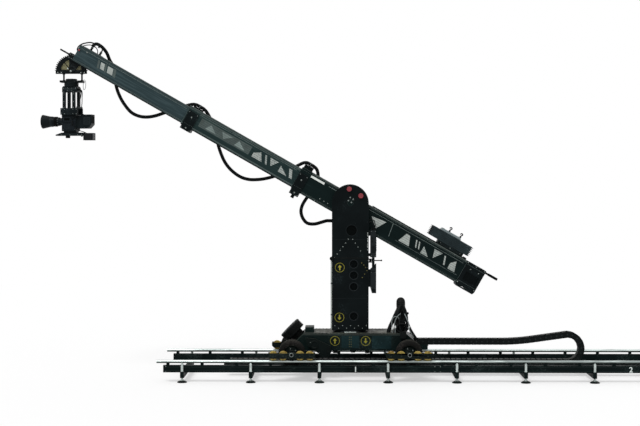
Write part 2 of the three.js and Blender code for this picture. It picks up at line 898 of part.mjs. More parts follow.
function columnCore() {
  const slew = turned([[0, deckTop + gap], [slewRadius, deckTop + gap], [slewRadius, slewFlange],
    [slewTopRadius, postBottom], [0, postBottom]], 'z', 28);
  return join(slew, box(weld - postHalfWidth, postHalfWidth - weld, gap - cheekInner,
    cheekInner - gap, postBottom - weld, forkFloor));
}

add('column_core', crane, columnCore(), postPaint);

function cheekBlank(y0, y1) {
  const outline = [[-postHalfWidth, postBottom + gap], [postHalfWidth, postBottom + gap],
    ...arc(0, pivotHeight, postHalfWidth, 0, Math.PI, 20)];
  return plate(outline, y0, y1).subtract(bar([0, y0 - overrun, pivotHeight],
    [0, y1 + overrun, pivotHeight], boreFor(trunnionRadius, 24), 24));
}

function cheekNear() {
  const face = -cheekOuter;
  let solid = cheekBlank(face, -cheekInner);
  const pocket = (x, z, radius, depth, sides) => bar([x, face - overrun, z],
    [x, face + depth, z], radius, sides);
  solid = solid.subtract(pocket(recessX, recessHeight, recessRadius, recessDepth, 18));
  portHeights.forEach((z) => {
    solid = solid.subtract(pocket(portX, z, portRadius, portDepth, 12));
  });
  knobPlaces.forEach(([x, rise]) => {
    const z = pivotHeight + rise;
    solid = solid.add(bar([x, face + weld, z], [x, face - knobHeight, z], knobRadius, 12));
  });
  return solid;
}

function cheekFar() {
  let solid = cheekBlank(cheekInner, cheekOuter);
  portHeights.forEach((z) => {
    solid = solid.subtract(bar([portX, cheekOuter - portDepth, z], [portX, cheekOuter + overrun, z],
      portRadius, 12));
  });
  return solid;
}

add('cheek_near', crane, cheekNear(), postPaint);
add('cheek_far', crane, cheekFar(), postPaint);

// Control box: two housings joined by a strut, with ears that carry the brake lever

const leverHeight = pivotHeight - leverDrop;
const boxBottom = leverHeight + boxAboveLever;
const boxTop = boxBottom + boxHeight;
const lowBoxTop = leverHeight - lowBoxBelowLever;
const lowBoxBottom = lowBoxTop - lowBoxHeight;

function controlBox() {
  const edge = postHalfWidth + gap;
  const upper = box(boxStart, boxStart + boxDepth, -boxNear, -boxFar, boxBottom, boxTop);
  const lower = plate([[boxStart, lowBoxTop - boxDepth], [boxStart + boxDepth, lowBoxTop],
    [boxStart + boxDepth, lowBoxBottom], [strutStart, lowBoxBottom + thin], [boxStart, lowBoxBottom + boxDepth]],
  -boxNear, -boxFar);
  const strut = box(strutStart, strutStart + strutWidth, -boxNear, strutSheet - boxNear, lowBoxTop - 2 * boxDepth / 3,
    boxBottom + weld);
  const ears = [-1, 1].map((way) => {
    const inner = leverHeight + way * (leverHubHeight / 2 + gap);
    const outer = inner + way * earSheet;
    return box(edge, strutStart + overrun, -boxNear + weld, leverY + leverHub,
      Math.min(inner, outer), Math.max(inner, outer));
  });
  const pin = bar([leverX, leverY, leverHeight - leverHubHeight], [leverX, leverY, leverHeight
    + leverHubHeight], leverRadius, 10);
  const tabs = [boxTop - boxDepth, boxBottom + overrun].map((z) => box(edge, boxStart + weld,
    -cheekOuter, -cheekInner - weld, z, z + boxDepth / 2));
  const lowTab = box(edge, boxStart + weld, -cheekOuter, -cheekInner - weld,
    lowBoxBottom + boxDepth + weld, lowBoxTop - boxDepth - weld);
  return join(upper, lower, strut, ...ears, pin, ...tabs, lowTab);
}

add('control_box', crane, controlBox(), postPaint);

function brakeLever() {
  const half = leverHubHeight / 2;
  const hub = bar([leverX, leverY, leverHeight - half], [leverX, leverY, leverHeight + half], leverHub, 16);
  const arm = bar([leverX, leverY, leverHeight], [leverEnd, leverY, leverHeight], leverRadius, 10);
  const ball = moved(turned(arc(0, 0, leverBall, -Math.PI / 2, Math.PI / 2, 6), 'x', 10),
    leverEnd, leverY, leverHeight);
  const bore = bar([leverX, leverY, leverHeight - half - overrun],
    [leverX, leverY, leverHeight + half + overrun], leverRadius + gap, 10);
  return join(hub, arm, ball).subtract(bore);
}

add('brake_lever', crane, brakeLever(), alloy);

// Boom tubes: each is a box section with shallow webs between its flanges. The inner end of a
// sliding tube is a block that runs in the tube outside it, whose nose end is a collar.

function tubeSection(halfWidth, bottom, top) {
  const web = halfWidth - webRecess;
  return [[-halfWidth, bottom], [halfWidth, bottom], [halfWidth, bottom + tubeFlange],
    [web, bottom + tubeFlange + webRecess], [web, top - tubeFlange - webRecess],
    [halfWidth, top - tubeFlange], [halfWidth, top], [-halfWidth, top], [-halfWidth, top - tubeFlange],
    [-web, top - tubeFlange - webRecess], [-web, bottom + tubeFlange + webRecess],
    [-halfWidth, bottom + tubeFlange]];
}

// A box along the boom, from its u, y and v places
const boomBox = (u0, u1, y0, y1, v0, v1) => box(-u1, -u0, y0, y1, v0, v1);
const boomPlate = (outline, y0, y1) => plate(outline.map(([u, v]) => [-u, v]), y0, y1);
const boomTube = (section, u0, u1) => beam(section, -u1, -u0);

const baseHollow = baseHalfWidth - webRecess - baseWall;
const midHollow = midHalfWidth - webRecess - midWall;
const frontHollow = frontHalfWidth - webRecess - frontWall;

function boomBase() {
  const outer = boomTube(tubeSection(baseHalfWidth, baseBottom, baseTop), baseStart, baseEnd);
  const hollow = boomBox(baseStart + baseWall, baseEnd - collarLength, -baseHollow, baseHollow,
    baseBottom + baseWall, baseTop - baseWall);
  const mouth = boomBox(baseEnd - collarLength - overrun, baseEnd + overrun, -midHalfWidth - gap,
    midHalfWidth + gap, midBottom - gap, midTop + gap);
  const strips = [-1, 1].map((side) => boomBox(baseStart + stripInset, stripEnd,
    side * stripOffset - stripWidth / 2, side * stripOffset + stripWidth / 2,
    baseTop - weld, baseTop + stripHeight));
  const stop = boomBox(baseStart + stripInset, stopEnd, -stopHalfWidth, stopHalfWidth,
    baseTop - weld, baseTop + stopHeight);
  const trunnions = [-1, 1].map((side) => bar([0, side * (baseHalfWidth - webRecess - weld), 0],
    [0, side * (cheekOuter - gap), 0], trunnionRadius, 24));
  return join(outer.subtract(hollow).subtract(mouth), ...strips, stop, ...trunnions);
}

function slidingTube(start, end, halfWidth, bottom, top, wall, slider, collar, hollow) {
  const outer = boomTube(tubeSection(halfWidth, bottom, top), start, end);
  const block = boomBox(start, start + sliderLength, -slider.halfWidth, slider.halfWidth,
    slider.bottom, slider.top);
  const inside = boomBox(start - overrun, end - collar, -hollow, hollow, bottom + wall, top - wall);
  return join(outer, block).subtract(inside);
}

function boomMid() {
  const slider = { halfWidth: baseHollow - gap, bottom: baseBottom + baseWall + gap,
    top: baseTop - baseWall - gap };
  const tube = slidingTube(midStart, midEnd, midHalfWidth, midBottom, midTop, midWall, slider,
    collarLength, midHollow);
  return tube.subtract(boomBox(midEnd - collarLength - overrun, midEnd + overrun,
    -frontHalfWidth - gap, frontHalfWidth + gap, frontBottom - gap, frontTop + gap));
}

function boomFront() {
  const slider = { halfWidth: midHollow - gap, bottom: midBottom + midWall + gap,
    top: midTop - midWall - gap };
  const tube = slidingTube(frontStart, frontEnd, frontHalfWidth, frontBottom, frontTop, frontWall,
    slider, frontWall, frontHollow);
  const slot = bar([-headU, -sectorSlot, headV], [-headU, sectorSlot, headV], sectorSlotRadius, 32);
  const connectors = connectorPlaces.map((u) => bar([-u, connectorY, frontTop - weld],
    [-u, connectorY, connectorTop], connectorRadius, 12));
  return join(tube.subtract(slot), ...connectors);
}

add('boom_base', boom, boomBase(), boomPaint);
add('boom_mid', boom, boomMid(), boomPaint);
add('boom_front', boom, boomFront(), noseAlloy);

function tailHousing() {
  const start = baseStart - gap;
  const end = start - tailLength;
  const c = tailChamfer;
  const outline = [[start, tailTop], [start, tailBottom + c], [start - c / 2, tailBottom],
    [end + c / 2, tailBottom], [end, tailBottom + c], [end, tailTop]];
  const slot = boomBox(tailSlotStart, tailSlotEnd, -tailHalfWidth - overrun, tailHalfWidth + overrun,
    tailBottom + tailSlotHeight, tailBottom + 2 * tailSlotHeight);
  const handle = bar([-end - weld, 0, handleHeight], [-handleEnd, 0, handleHeight], handleRadius, 12);
  return join(boomPlate(outline, -tailHalfWidth, tailHalfWidth).subtract(slot), handle);
}

add('tail_housing', boom, tailHousing(), boomPaint);

// A saddle hangs under a tube's nose end between two side sheets; its far sheet rises to a shelf
// that the umbilical lies on.

function saddle(start, end, halfWidth, tubeBottom, bottom, top, shelfTop) {
  const inner = halfWidth + gap;
  const outer = inner + saddleSheet;
  const near = boomBox(start, end, -outer, -inner, bottom, top);
  const far = boomBox(start, end, inner, outer, bottom, shelfTop);
  const under = boomBox(start, end, -outer, outer, bottom, tubeBottom - gap);
  const shelf = boomBox(start + shelfInset, end - shelfInset, inner, inner + saddleShelf,
    shelfTop - saddleSheet, shelfTop);
  return join(near, far, under, shelf);
}

function saddleRear() {
  const body = saddle(rearSaddleStart, rearSaddleEnd, baseHalfWidth, baseBottom, rearSaddleBottom,
    rearSaddleTop, rearSaddleShelfTop);
  const footStart = (rearSaddleStart + rearSaddleEnd - footLength) / 2;
  const foot = boomBox(footStart, footStart + footLength, -footLength, footLength,
    rearSaddleBottom - footHeight, rearSaddleBottom + weld);
  return join(body, foot);
}

const saddleFront = () => saddle(frontSaddleStart, frontSaddleEnd, midHalfWidth, midBottom,
  frontSaddleBottom, frontSaddleTop, frontSaddleShelfTop);

add('saddle_rear', boom, saddleRear(), postPaint);
add('saddle_front', boom, saddleFront(), postPaint);

// Counterweights: a stack of plates with pointed ends on a carriage that runs on the two strips

const carriageBottom = baseTop + stripHeight + gap;
const stackBottom = carriageBottom + carriageHeight + gap;

add('weight_carriage', boom, boomBox(carriageStart, carriageEnd, -carriageHalfWidth,
  carriageHalfWidth, carriageBottom, carriageBottom + carriageHeight), weightPaint);

function weightStack() {
  const thick = stackHeight / stackPlates;
  const front = [];
  const back = [];
  for (let k = 0; k < stackPlates; k += 1) {
    const v = stackBottom + k * thick;
    front.push([stackEnd - stackPoint, v], [stackEnd, v + thick / 2]);
    back.push([stackStart + stackPoint, v], [stackStart, v + thick / 2]);
  }
  const top = stackBottom + stackHeight;
  const outline = [...front, [stackEnd - stackPoint, top], [stackStart + stackPoint, top],
    ...back.reverse()];
  const plateTopV = top + topPlateHeight;
  const hooks = [hookStart, hookEnd].map((u) => bar([-u, 0, plateTopV - weld], [-u, 0, hookTop],
    hookRadius, 8));
  return join(boomPlate(outline, -stackHalfWidth, stackHalfWidth),
    boomBox(topPlateStart, topPlateEnd, -topPlateHalfWidth, topPlateHalfWidth, top - weld, plateTopV),
    ...hooks);
}

add('weight_stack', boom, weightStack(), weightPaint);

// Umbilical: one cable in three stretches, each laid along the boom's far side, hanging in a
// drape past the end of a tube, over a saddle

function cable(route) {
  const curve = new THREE.CatmullRomCurve3(route.map(([u, y, v]) => new THREE.Vector3(-u, y, v)),
    false, 'centripetal');
  const steps = Math.ceil(curve.getLength() / cableStep);
  const points = curve.getSpacedPoints(steps);
  const headings = points.map((_, k) => curve.getTangentAt(k / steps));
  return hose(points, headings, points.map(() => cableRadius), 8);
}

add('umbilical_front', boom, cable(frontRoute), cableBlack);
add('umbilical_mid', boom, cable(midRoute), cableBlack);
add('umbilical_rear', boom, cable(rearRoute), cableBlack);

// Nose bracket: an end block and two cheeks that hold the level sector's pivot

function noseBracket() {
  const start = frontEnd + gap;
  const under = frontBottom - gap;
  const block = boomBox(start, noseEnd, -noseHalfWidth, noseHalfWidth, noseBottom, noseTop);
  const outline = [[noseCheekRoot, under], [start, under], [start, noseRodV], [noseEnd, noseRodV],
    ...arc(headU, headV, nosePivotRadius, 0, -Math.PI, 8)];
  const cheeks = [-1, 1].map((side) => {
    const [a, b] = [side * noseCheekInner, side * (noseCheekInner + noseCheekSheet)];
    return boomPlate(outline, Math.min(a, b), Math.max(a, b));
  });
  const slot = bar([-headU, -sectorSlot, headV], [-headU, sectorSlot, headV], sectorSlotRadius, 32);
  const reach = noseCheekInner + noseCheekSheet;
  const bore = bar([-headU, -reach - overrun, headV], [-headU, reach + overrun, headV],
    pivotPinRadius + pivotPlay, 16);
  const rod = bar([weld - noseEnd, noseRodY, noseRodV], [-noseRodEnd, noseRodY, noseRodV],
    noseRodRadius, 10);
  return join(block.subtract(slot), ...cheeks, rod).subtract(bore);
}

add('nose_bracket', boom, noseBracket(), noseAlloy);

// Level sector: a toothed half disc on a base bar, with two hangers down to the head's flange

function levelSector() {
  const step = Math.PI / sectorTeeth;
  const teeth = [];
  for (let k = 0; k < sectorTeeth; k += 1) {
    [[1 / 10, sectorRoot], [4 / 10, sectorTip], [6 / 10, sectorTip], [9 / 10, sectorRoot]]
      .forEach(([share, radius]) => {
        const angle = (k + share) * step;
        teeth.push([radius * Math.cos(angle), radius * Math.sin(angle)]);
      });
  }
  const disc = plate([[sectorRoot, 0], ...teeth, [-sectorRoot, 0]], -sectorHalfSheet, sectorHalfSheet);
  const opening = arc(0, windowBorder, windowRadius, 0, Math.PI, 16);
  const window = [-1, 1].map((side) => {
    const [a, b] = [side * windowHalfSheet, side * (sectorHalfSheet + overrun)];
    return plate(opening, Math.min(a, b), Math.max(a, b));
  });
  const base = box(-barHalfLength, barHalfLength, -sectorHalfSheet, sectorHalfSheet, -barHeight, thin);
  const pinReach = noseCheekInner + noseCheekSheet;
  const hub = bar([0, -sectorHalfSheet, 0], [0, sectorHalfSheet, 0], nosePivotRadius, 16);
  const pin = bar([0, -pinReach, 0], [0, pinReach, 0], pivotPinRadius, 16);
  const hangers = [hangerFront, hangerRear].map((x) => bar([x, 0, flangeTop - weld],
    [x, 0, weld - barHeight], hangerRadius, 12));
  const flange = box(flangeFront, flangeRear, -flangeHalfWidth, flangeHalfWidth,
    flangeTop - flangeSheet, flangeTop);
  const hole = bar([0, 0, flangeTop - flangeSheet - overrun], [0, 0, flangeTop + overrun],
    neckRadius + neckPlay, 32);
  return join(disc.subtract(window[0]).subtract(window[1]), base, hub, pin, ...hangers,
    flange.subtract(hole));
}

add('level_sector', level, levelSector(), sectorPaint);

// Pan housing: its neck turns in the flange between a cap above and a body below

function headHousing() {
  const capBottom = flangeTop + gap;
  const top = capBottom + capHeight;
  const bodyTop = flangeTop - flangeSheet - gap;
  const round = turned([[0, panBottom - weld], [panRadius, panBottom - weld], [panRadius, bodyTop],
    [neckRadius, bodyTop], [neckRadius, capBottom], [capRadius, capBottom], [capRadius, top - capBevel],
    [capRadius - capBevel, top], [0, top]], 'z', 32);
  return join(round, box(-yokeHalfLength, yokeHalfLength, -yokeHalfWidth, yokeHalfWidth,
    yokeBottom, panBottom));
}

add('head_housing', pan, headHousing(), headBlack);

function legFrame() {
  const half = legSize / 2;
  const parts = [];
  [-1, 1].forEach((sideY) => {
    [-1, 1].forEach((sideX) => {
      const [x, y] = [sideX * legX, sideY * legY];
      parts.push(box(x - half, x + half, y - half, y + half, legBottom - weld, legTop));
      parts.push(bar([x, y + sideY * (half - weld), legKnobHeight],
        [x, y + sideY * (half + legKnobLength), legKnobHeight], legKnobRadius, 10));
    });
    const [a, b] = [sideY * tiltCheekInner, sideY * (tiltCheekInner + tiltCheekSheet)];
    const sheet = box(tiltCheekFront, tiltCheekRear, Math.min(a, b), Math.max(a, b),
      tiltCheekBottom, legBottom);
    const bore = bar([0, Math.min(a, b) - overrun, tiltHeight], [0, Math.max(a, b) + overrun,
      tiltHeight], tiltPinRadius + tiltPlay, 20);
    parts.push(sheet.subtract(bore));
  });
  const tie = box(tiltCheekRear - legSize / 2, tiltCheekRear, -tiltCheekInner - weld,
    tiltCheekInner + weld, legBottom - weld, legBottom + legSize / 2);
  return join(...parts, tie);
}

function tiltBlock() {
  const pinReach = tiltCheekInner + tiltCheekSheet;
  return join(
    box(tiltCheekFront, tiltCheekRear - legSize, -blockHalfWidth, blockHalfWidth, blockBottom,
      legBottom - weld),
    bar([0, -pinReach, tiltHeight], [0, pinReach, tiltHeight], tiltPinRadius, 20),
  );
}

add('leg_frame', pan, legFrame(), headBlack);
add('tilt_block', pan, tiltBlock(), headBlack);

// Camera under the tilt block, with its battery, lens, focus ring and base plate

function cameraBody() {
  const top = blockBottom - gap;
  const c = batteryChamfer;
  const body = box(bodyFront, bodyRear, -bodyHalfWidth, bodyHalfWidth, bodyBottom, top);
  const battery = plate([[bodyRear - weld, batteryBottom], [batteryEnd - c, batteryBottom],
    [batteryEnd, batteryBottom + c], [batteryEnd, batteryTop], [batteryStep, batteryTop],
    [batteryStep, top], [bodyRear - weld, top]], -batteryHalfWidth, batteryHalfWidth);
  return join(body, battery);
}

add('camera_body', pan, cameraBody(), headBlack);

const lensAxis = new THREE.Group();
lensAxis.position.set(0, 0, lensHeight);
pan.add(lensAxis);

function cameraLens() {
  const r = lensRadii;
  const s = lensStations;
  const rear = bodyFront - gap;
  return turned([[0, s.rim + lensBoreDepth], [lensBore, s.rim + lensBoreDepth], [r.rim - thin, s.rim],
    [r.rim, s.rim], [r.hood, s.hood], [r.shoulder, s.shoulder], [r.neck, s.ringFront],
    [r.seat, s.ringFront], [r.seat, s.ringRear], [r.barrel, s.ringRear], [r.barrel, s.barrel],
    [r.mount, s.barrel], [r.mount, rear], [0, rear]], 'x', 24);
}

function focusRing() {
  const teeth = [];
  const bore = lensRadii.seat + focusPlay;
  const y0 = lensStations.ringFront + focusPlay;
  const y1 = lensStations.ringRear - focusPlay;
  for (let k = 0; k < 2 * focusTeeth; k += 1) {
    const angle = Math.PI * k / focusTeeth;
    const radius = k % 2 === 0 ? focusRadius : focusRadius - focusPlay - thin;
    teeth.push([radius * Math.cos(angle), radius * Math.sin(angle)]);
  }
  return beam(teeth, y0, y1).subtract(bar([y0 - overrun, 0, 0], [y1 + overrun, 0, 0], bore, 28));
}

add('camera_lens', lensAxis, cameraLens(), headBlack);
add('focus_ring', lensAxis, focusRing(), cableBlack);

function basePlate() {
  const bottom = basePlateTop - basePlateSheet;
  const sheet = plate([[basePlateFront, bottom], [basePlateRear, bottom], [basePlateRear, basePlateTop],
    [basePlateFront + basePlateRamp, basePlateTop], [basePlateFront, bottom + basePlateEdge]],
  -basePlateHalfWidth, basePlateHalfWidth);
  const riser = box(riserFront, riserRear, -riserHalfWidth, riserHalfWidth, basePlateTop - weld,
    bodyBottom - gap);
  const knob = bar([mountKnobX, 0, bottom + weld], [mountKnobX, 0, bottom - mountKnobHeight],
    mountKnobRadius, 14);
  const monitor = box(basePlateRear - weld, monitorEnd, -monitorHalfWidth, monitorHalfWidth,
    monitorBottom, monitorTop);
  return join(sheet, riser, knob, monitor);
}

add('base_plate', pan, basePlate(), headBlack);

// Centre the crane over its floor
crane.updateMatrixWorld(true);
const bounds = new THREE.Box3().setFromObject(crane, true);
const centre = bounds.getCenter(new THREE.Vector3());
crane.position.set(-centre.x, -centre.y, -bounds.min.z);
crane.updateMatrixWorld(true);

export default crane;
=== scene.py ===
# %% [markdown]
# # Dressing a camera jib crane
# A jib crane swings a camera on a telescoping boom. The boom tilts in a forked post, the post
# stands on a dolly, and the dolly rolls along straight tube track. The crane's structure comes
# in as a fixed frame of named nodes at their real size. This lesson gives each of them its
# finish and adds what a frame leaves out: smooth wheels, chain links, cables, glass, screws,
# rims and labels. Everything is in metres, X along the track, Y across it and Z up.

# %% Load the frame
import json
import math

import bmesh
import bpy
from mathutils import Euler, Matrix, Vector


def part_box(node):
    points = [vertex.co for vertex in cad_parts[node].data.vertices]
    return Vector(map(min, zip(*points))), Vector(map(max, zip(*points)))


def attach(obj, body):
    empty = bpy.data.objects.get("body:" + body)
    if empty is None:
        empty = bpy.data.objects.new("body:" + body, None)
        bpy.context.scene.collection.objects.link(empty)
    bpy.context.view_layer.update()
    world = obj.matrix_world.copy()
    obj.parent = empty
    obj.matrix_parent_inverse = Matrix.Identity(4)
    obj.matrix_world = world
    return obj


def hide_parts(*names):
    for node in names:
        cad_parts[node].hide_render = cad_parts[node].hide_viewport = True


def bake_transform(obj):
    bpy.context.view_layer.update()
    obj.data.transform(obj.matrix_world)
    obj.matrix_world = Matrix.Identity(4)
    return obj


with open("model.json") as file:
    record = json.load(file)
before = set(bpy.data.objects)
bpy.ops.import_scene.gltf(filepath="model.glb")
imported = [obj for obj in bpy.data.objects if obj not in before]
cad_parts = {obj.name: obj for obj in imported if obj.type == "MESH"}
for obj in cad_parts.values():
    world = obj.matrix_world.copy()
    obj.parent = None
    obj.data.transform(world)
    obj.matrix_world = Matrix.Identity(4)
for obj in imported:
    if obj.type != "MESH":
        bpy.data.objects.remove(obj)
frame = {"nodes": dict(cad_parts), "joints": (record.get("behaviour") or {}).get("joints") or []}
nodes = frame["nodes"]
joints = {joint["name"]: joint for joint in frame["joints"]}
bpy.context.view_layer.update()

# %% [markdown]
# ## Places to build in
# Most pieces are easier to write down in the place they belong to. POST has its origin on the
# floor under the post. BOOM has u along the boom towards its nose, y across and v square to
# the boom, upwards, all from the tilt axis. LEVEL hangs under the nose and stays upright, and
# PAN is LEVEL turned to where the camera looks. Each one is a matrix that is worked out from
# the frame's own joints, so a piece lands where the frame says.

# %% Places
core_low, core_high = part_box("column_core")
POST = Matrix.Translation(((core_low.x + core_high.x) / 2, 0, 0))
outward = Vector(joints["mid_slide"]["axis"])
upward = Vector((outward.z, 0, -outward.x))
BOOM = Matrix.Translation(joints["boom_tilt"]["pos_m"]) @ Matrix((
    outward, Vector((0, 1, 0)), upward)).transposed().to_4x4()
LEVEL = Matrix.Translation(joints["head_level"]["pos_m"])
tilt_axis = Vector(joints["head_tilt"]["axis"])
PAN = LEVEL @ Matrix.Rotation(math.atan2(-tilt_axis.x, tilt_axis.y), 4, "Z")


def facing(point, direction):
    """A place whose Z axis leaves a point in a direction."""
    return Matrix.Translation(point) @ Vector(direction).to_track_quat("Z", "Y").to_matrix().to_4x4()


AHEAD = (1, 0, 0)
BEHIND = (-1, 0, 0)
NEAR = (0, -1, 0)
FAR = (0, 1, 0)
UP = (0, 0, 1)
DOWN = (0, 0, -1)
print("post axis at", round(POST.translation.x, 4), "and tilt axis at", BOOM.translation)

# %% [markdown]
# ## The camera
# The photograph was taken from far away with a long lens, level with the top of the post, so
# the track's lines run almost flat. Lines that run straight away from the camera meet at one
# pixel of the picture, the vanishing pixel, and its distance from the picture's centre gives
# the two small angles that the camera is turned by.

# %% Camera
PICTURE = (640, 426)
VANISHING_PIXEL = (337, 171)
FOCAL_PIXELS = 1440
SENSOR = 36
CAMERA_ASIDE = -0.1485
CAMERA_DISTANCE = 16.2
CAMERA_HEIGHT = 2.31


def in_scene(name, data):
    """A new object that shows in the scene."""
    made = bpy.data.objects.new(name, data)
    bpy.context.scene.collection.objects.link(made)
    return made


yaw = math.atan((VANISHING_PIXEL[0] - PICTURE[0] / 2) / FOCAL_PIXELS)
pitch_down = math.atan((PICTURE[1] / 2 - VANISHING_PIXEL[1]) / FOCAL_PIXELS)
camera = in_scene("picture_camera", bpy.data.cameras.new("picture_camera"))
camera.data.sensor_width = SENSOR
camera.data.lens = SENSOR * FOCAL_PIXELS / PICTURE[0]
camera.location = POST @ Vector((CAMERA_ASIDE, -CAMERA_DISTANCE, CAMERA_HEIGHT))
camera.rotation_euler = Euler((math.pi / 2 - pitch_down, 0, yaw))
bpy.context.scene.camera = camera
print("lens", round(camera.data.lens, 1), "mm")

# %% [markdown]
# ## Nodes in one line
# Materials and the world are trees of nodes. Making a node, setting it and linking it takes
# Blender several calls, so one helper does all three, and three more stand for the kinds of
# node that come back most: a sum, a noise, and a range that is mapped onto another.

# %% Node helpers
def node(tree, kind, inputs=None, **settings):
    """A new shader node. An input is a value, or another node's output to link to."""
    made = tree.nodes.new("ShaderNode" + kind)
    for key, value in settings.items():
        setattr(made, key, value)
    for key, value in (inputs or {}).items():
        if isinstance(value, bpy.types.NodeSocket):
            tree.links.new(value, made.inputs[key])
        else:
            made.inputs[key].default_value = value
    return made


def sum_of(tree, operation, *values):
    return node(tree, "Math", dict(enumerate(values)), operation=operation).outputs[0]


def noise(tree, where, scale, detail, roughness=0.5):
    inputs = {"Vector": where, "Scale": scale, "Detail": detail, "Roughness": roughness}
    return node(tree, "TexNoise", inputs).outputs[0]


def ramp(tree, value, start, end, low=0.0, high=1.0, **settings):
    """Low where the value is at its start, high where it is at its end, and even between them."""
    inputs = {"Value": value, "From Min": start, "From Max": end, "To Min": low, "To Max": high}
    return node(tree, "MapRange", inputs, **settings).outputs[0]


# %% [markdown]
# ## Floor and light
# The crane stands in a white studio. The camera, and gloss and glass, see a white world, but
# the world that lights the crane is a dimmer grey, so dark paint keeps its depth. One broad
# sun from the upper left gives the shapes their soft highlights. The floor glows a little for
# the camera, more so far out, so that it melts into the white and still takes a pale shadow.

# %% Studio
WORLD_GREY = 0.62
SUN_HEADING = (0.38, 0.6, -1.0)
SUN_ANGLE = math.radians(25)
SUN_STRENGTH = 2.0
FLOOR_REACH = 60
FLOOR_TONE = 0.88
FLOOR_ROUGHNESS = 0.9
FLOOR_GLOW_NEAR = 0.45
FLOOR_GLOW_START = 3.5
FLOOR_GLOW_FULL = 14.0


def studio_world():
    world = bpy.data.worlds.new("studio")
    bpy.context.scene.world = world
    world.use_nodes = True
    tree = world.node_tree
    rays = node(tree, "LightPath").outputs
    seen = rays["Is Camera Ray"]
    for ray in ("Is Glossy Ray", "Is Transmission Ray"):
        seen = sum_of(tree, "MAXIMUM", seen, rays[ray])
    back = tree.nodes["Background"]
    back.inputs["Color"].default_value = (1, 1, 1, 1)
    tree.links.new(ramp(tree, seen, 0.0, 1.0, WORLD_GREY, 1.0), back.inputs["Strength"])


def studio_sun():
    sun = in_scene("studio_sun", bpy.data.lights.new("studio_sun", "SUN"))
    sun.data.energy = SUN_STRENGTH
    sun.data.angle = SUN_ANGLE
    sun.rotation_euler = Vector(SUN_HEADING).to_track_quat("-Z", "Y").to_euler()


def studio_floor():
    data = bpy.data.meshes.new("studio_floor")
    corners = [(-1, -1), (1, -1), (1, 1), (-1, 1)]
    data.from_pydata([(x * FLOOR_REACH, y * FLOOR_REACH, 0) for x, y in corners], [], [range(4)])
    material = bpy.data.materials.new("floor_white")
    material.use_nodes = True
    tree = material.node_tree
    shader = tree.nodes["Principled BSDF"]
    shader.inputs["Base Color"].default_value = (FLOOR_TONE, FLOOR_TONE, FLOOR_TONE, 1)
    shader.inputs["Roughness"].default_value = FLOOR_ROUGHNESS
    shader.inputs["Specular IOR Level"].default_value = 0.0
    away = node(tree, "VectorMath", {0: node(tree, "TexCoord").outputs["Object"]}, operation="LENGTH")
    share = ramp(tree, away.outputs["Value"], FLOOR_GLOW_START, FLOOR_GLOW_FULL, FLOOR_GLOW_NEAR, 1.0,
                 interpolation_type="SMOOTHSTEP")
    seen = sum_of(tree, "MULTIPLY", share, node(tree, "LightPath").outputs["Is Camera Ray"])
    glow = node(tree, "Emission").outputs[0]
    both = node(tree, "MixShader", {0: seen, 1: shader.outputs[0], 2: glow})
    tree.links.new(both.outputs[0], tree.nodes["Material Output"].inputs["Surface"])
    data.materials.append(material)
    in_scene("studio_floor", data)


studio_world()
studio_sun()
studio_floor()
bpy.context.scene.view_settings.view_transform = "Standard"
print("studio floor", 2 * FLOOR_REACH, "m across")

# %% [markdown]
# ## Meshes from points
# Every piece is made by one small class. A Form collects blocks, turned profiles, prisms and
# tubes, each with its finish, and becomes a mesh object once it is whole. Sharp corners are
# kept, round stretches are shaded smooth, and a bevel modifier takes the edge off what a
# machinist would have broken with a file. The crane's near and far sides are much alike, so
# a few helpers put the same thing on both.

# %% Helpers for both sides and for circles
BOTH = (-1, 1)


def around(count, radius, shift=0.0):
    """Places on a circle. The shift is a share of the step from one to the next."""
    angles = [2 * math.pi * (k + shift) / count for k in range(count)]
    return [(radius * math.cos(angle), radius * math.sin(angle)) for angle in angles]


def mirrored(profile):
    """A profile of radius and height, followed by its mirror image above height zero."""
    return [*profile, *((radius, -height) for radius, height in reversed(profile) if height)]


def turns(count, shift=0.0):
    """Turns about Z, evenly round a circle."""
    return [Matrix.Rotation(2 * math.pi * (k + shift) / count, 4, "Z") for k in range(count)]


def moved(x, y, z):
    return Matrix.Translation((x, y, z))


# %% The Form class
FINISHES = {}
SMOOTH_ANGLE = math.radians(32)
BEVEL_ANGLE = math.radians(38)
BEVEL_STEPS = 2


def soften(piece, width, worn_and_highlight_slot=-1):
    """A bevel on the sharp edges, whose faces may take the finish in another material slot."""
    bevel = piece.modifiers.new("soft_edges", "BEVEL")
    bevel.width = width
    bevel.segments = BEVEL_STEPS
    bevel.limit_method = "ANGLE"
    bevel.angle_limit = BEVEL_ANGLE
    bevel.material = worn_and_highlight_slot


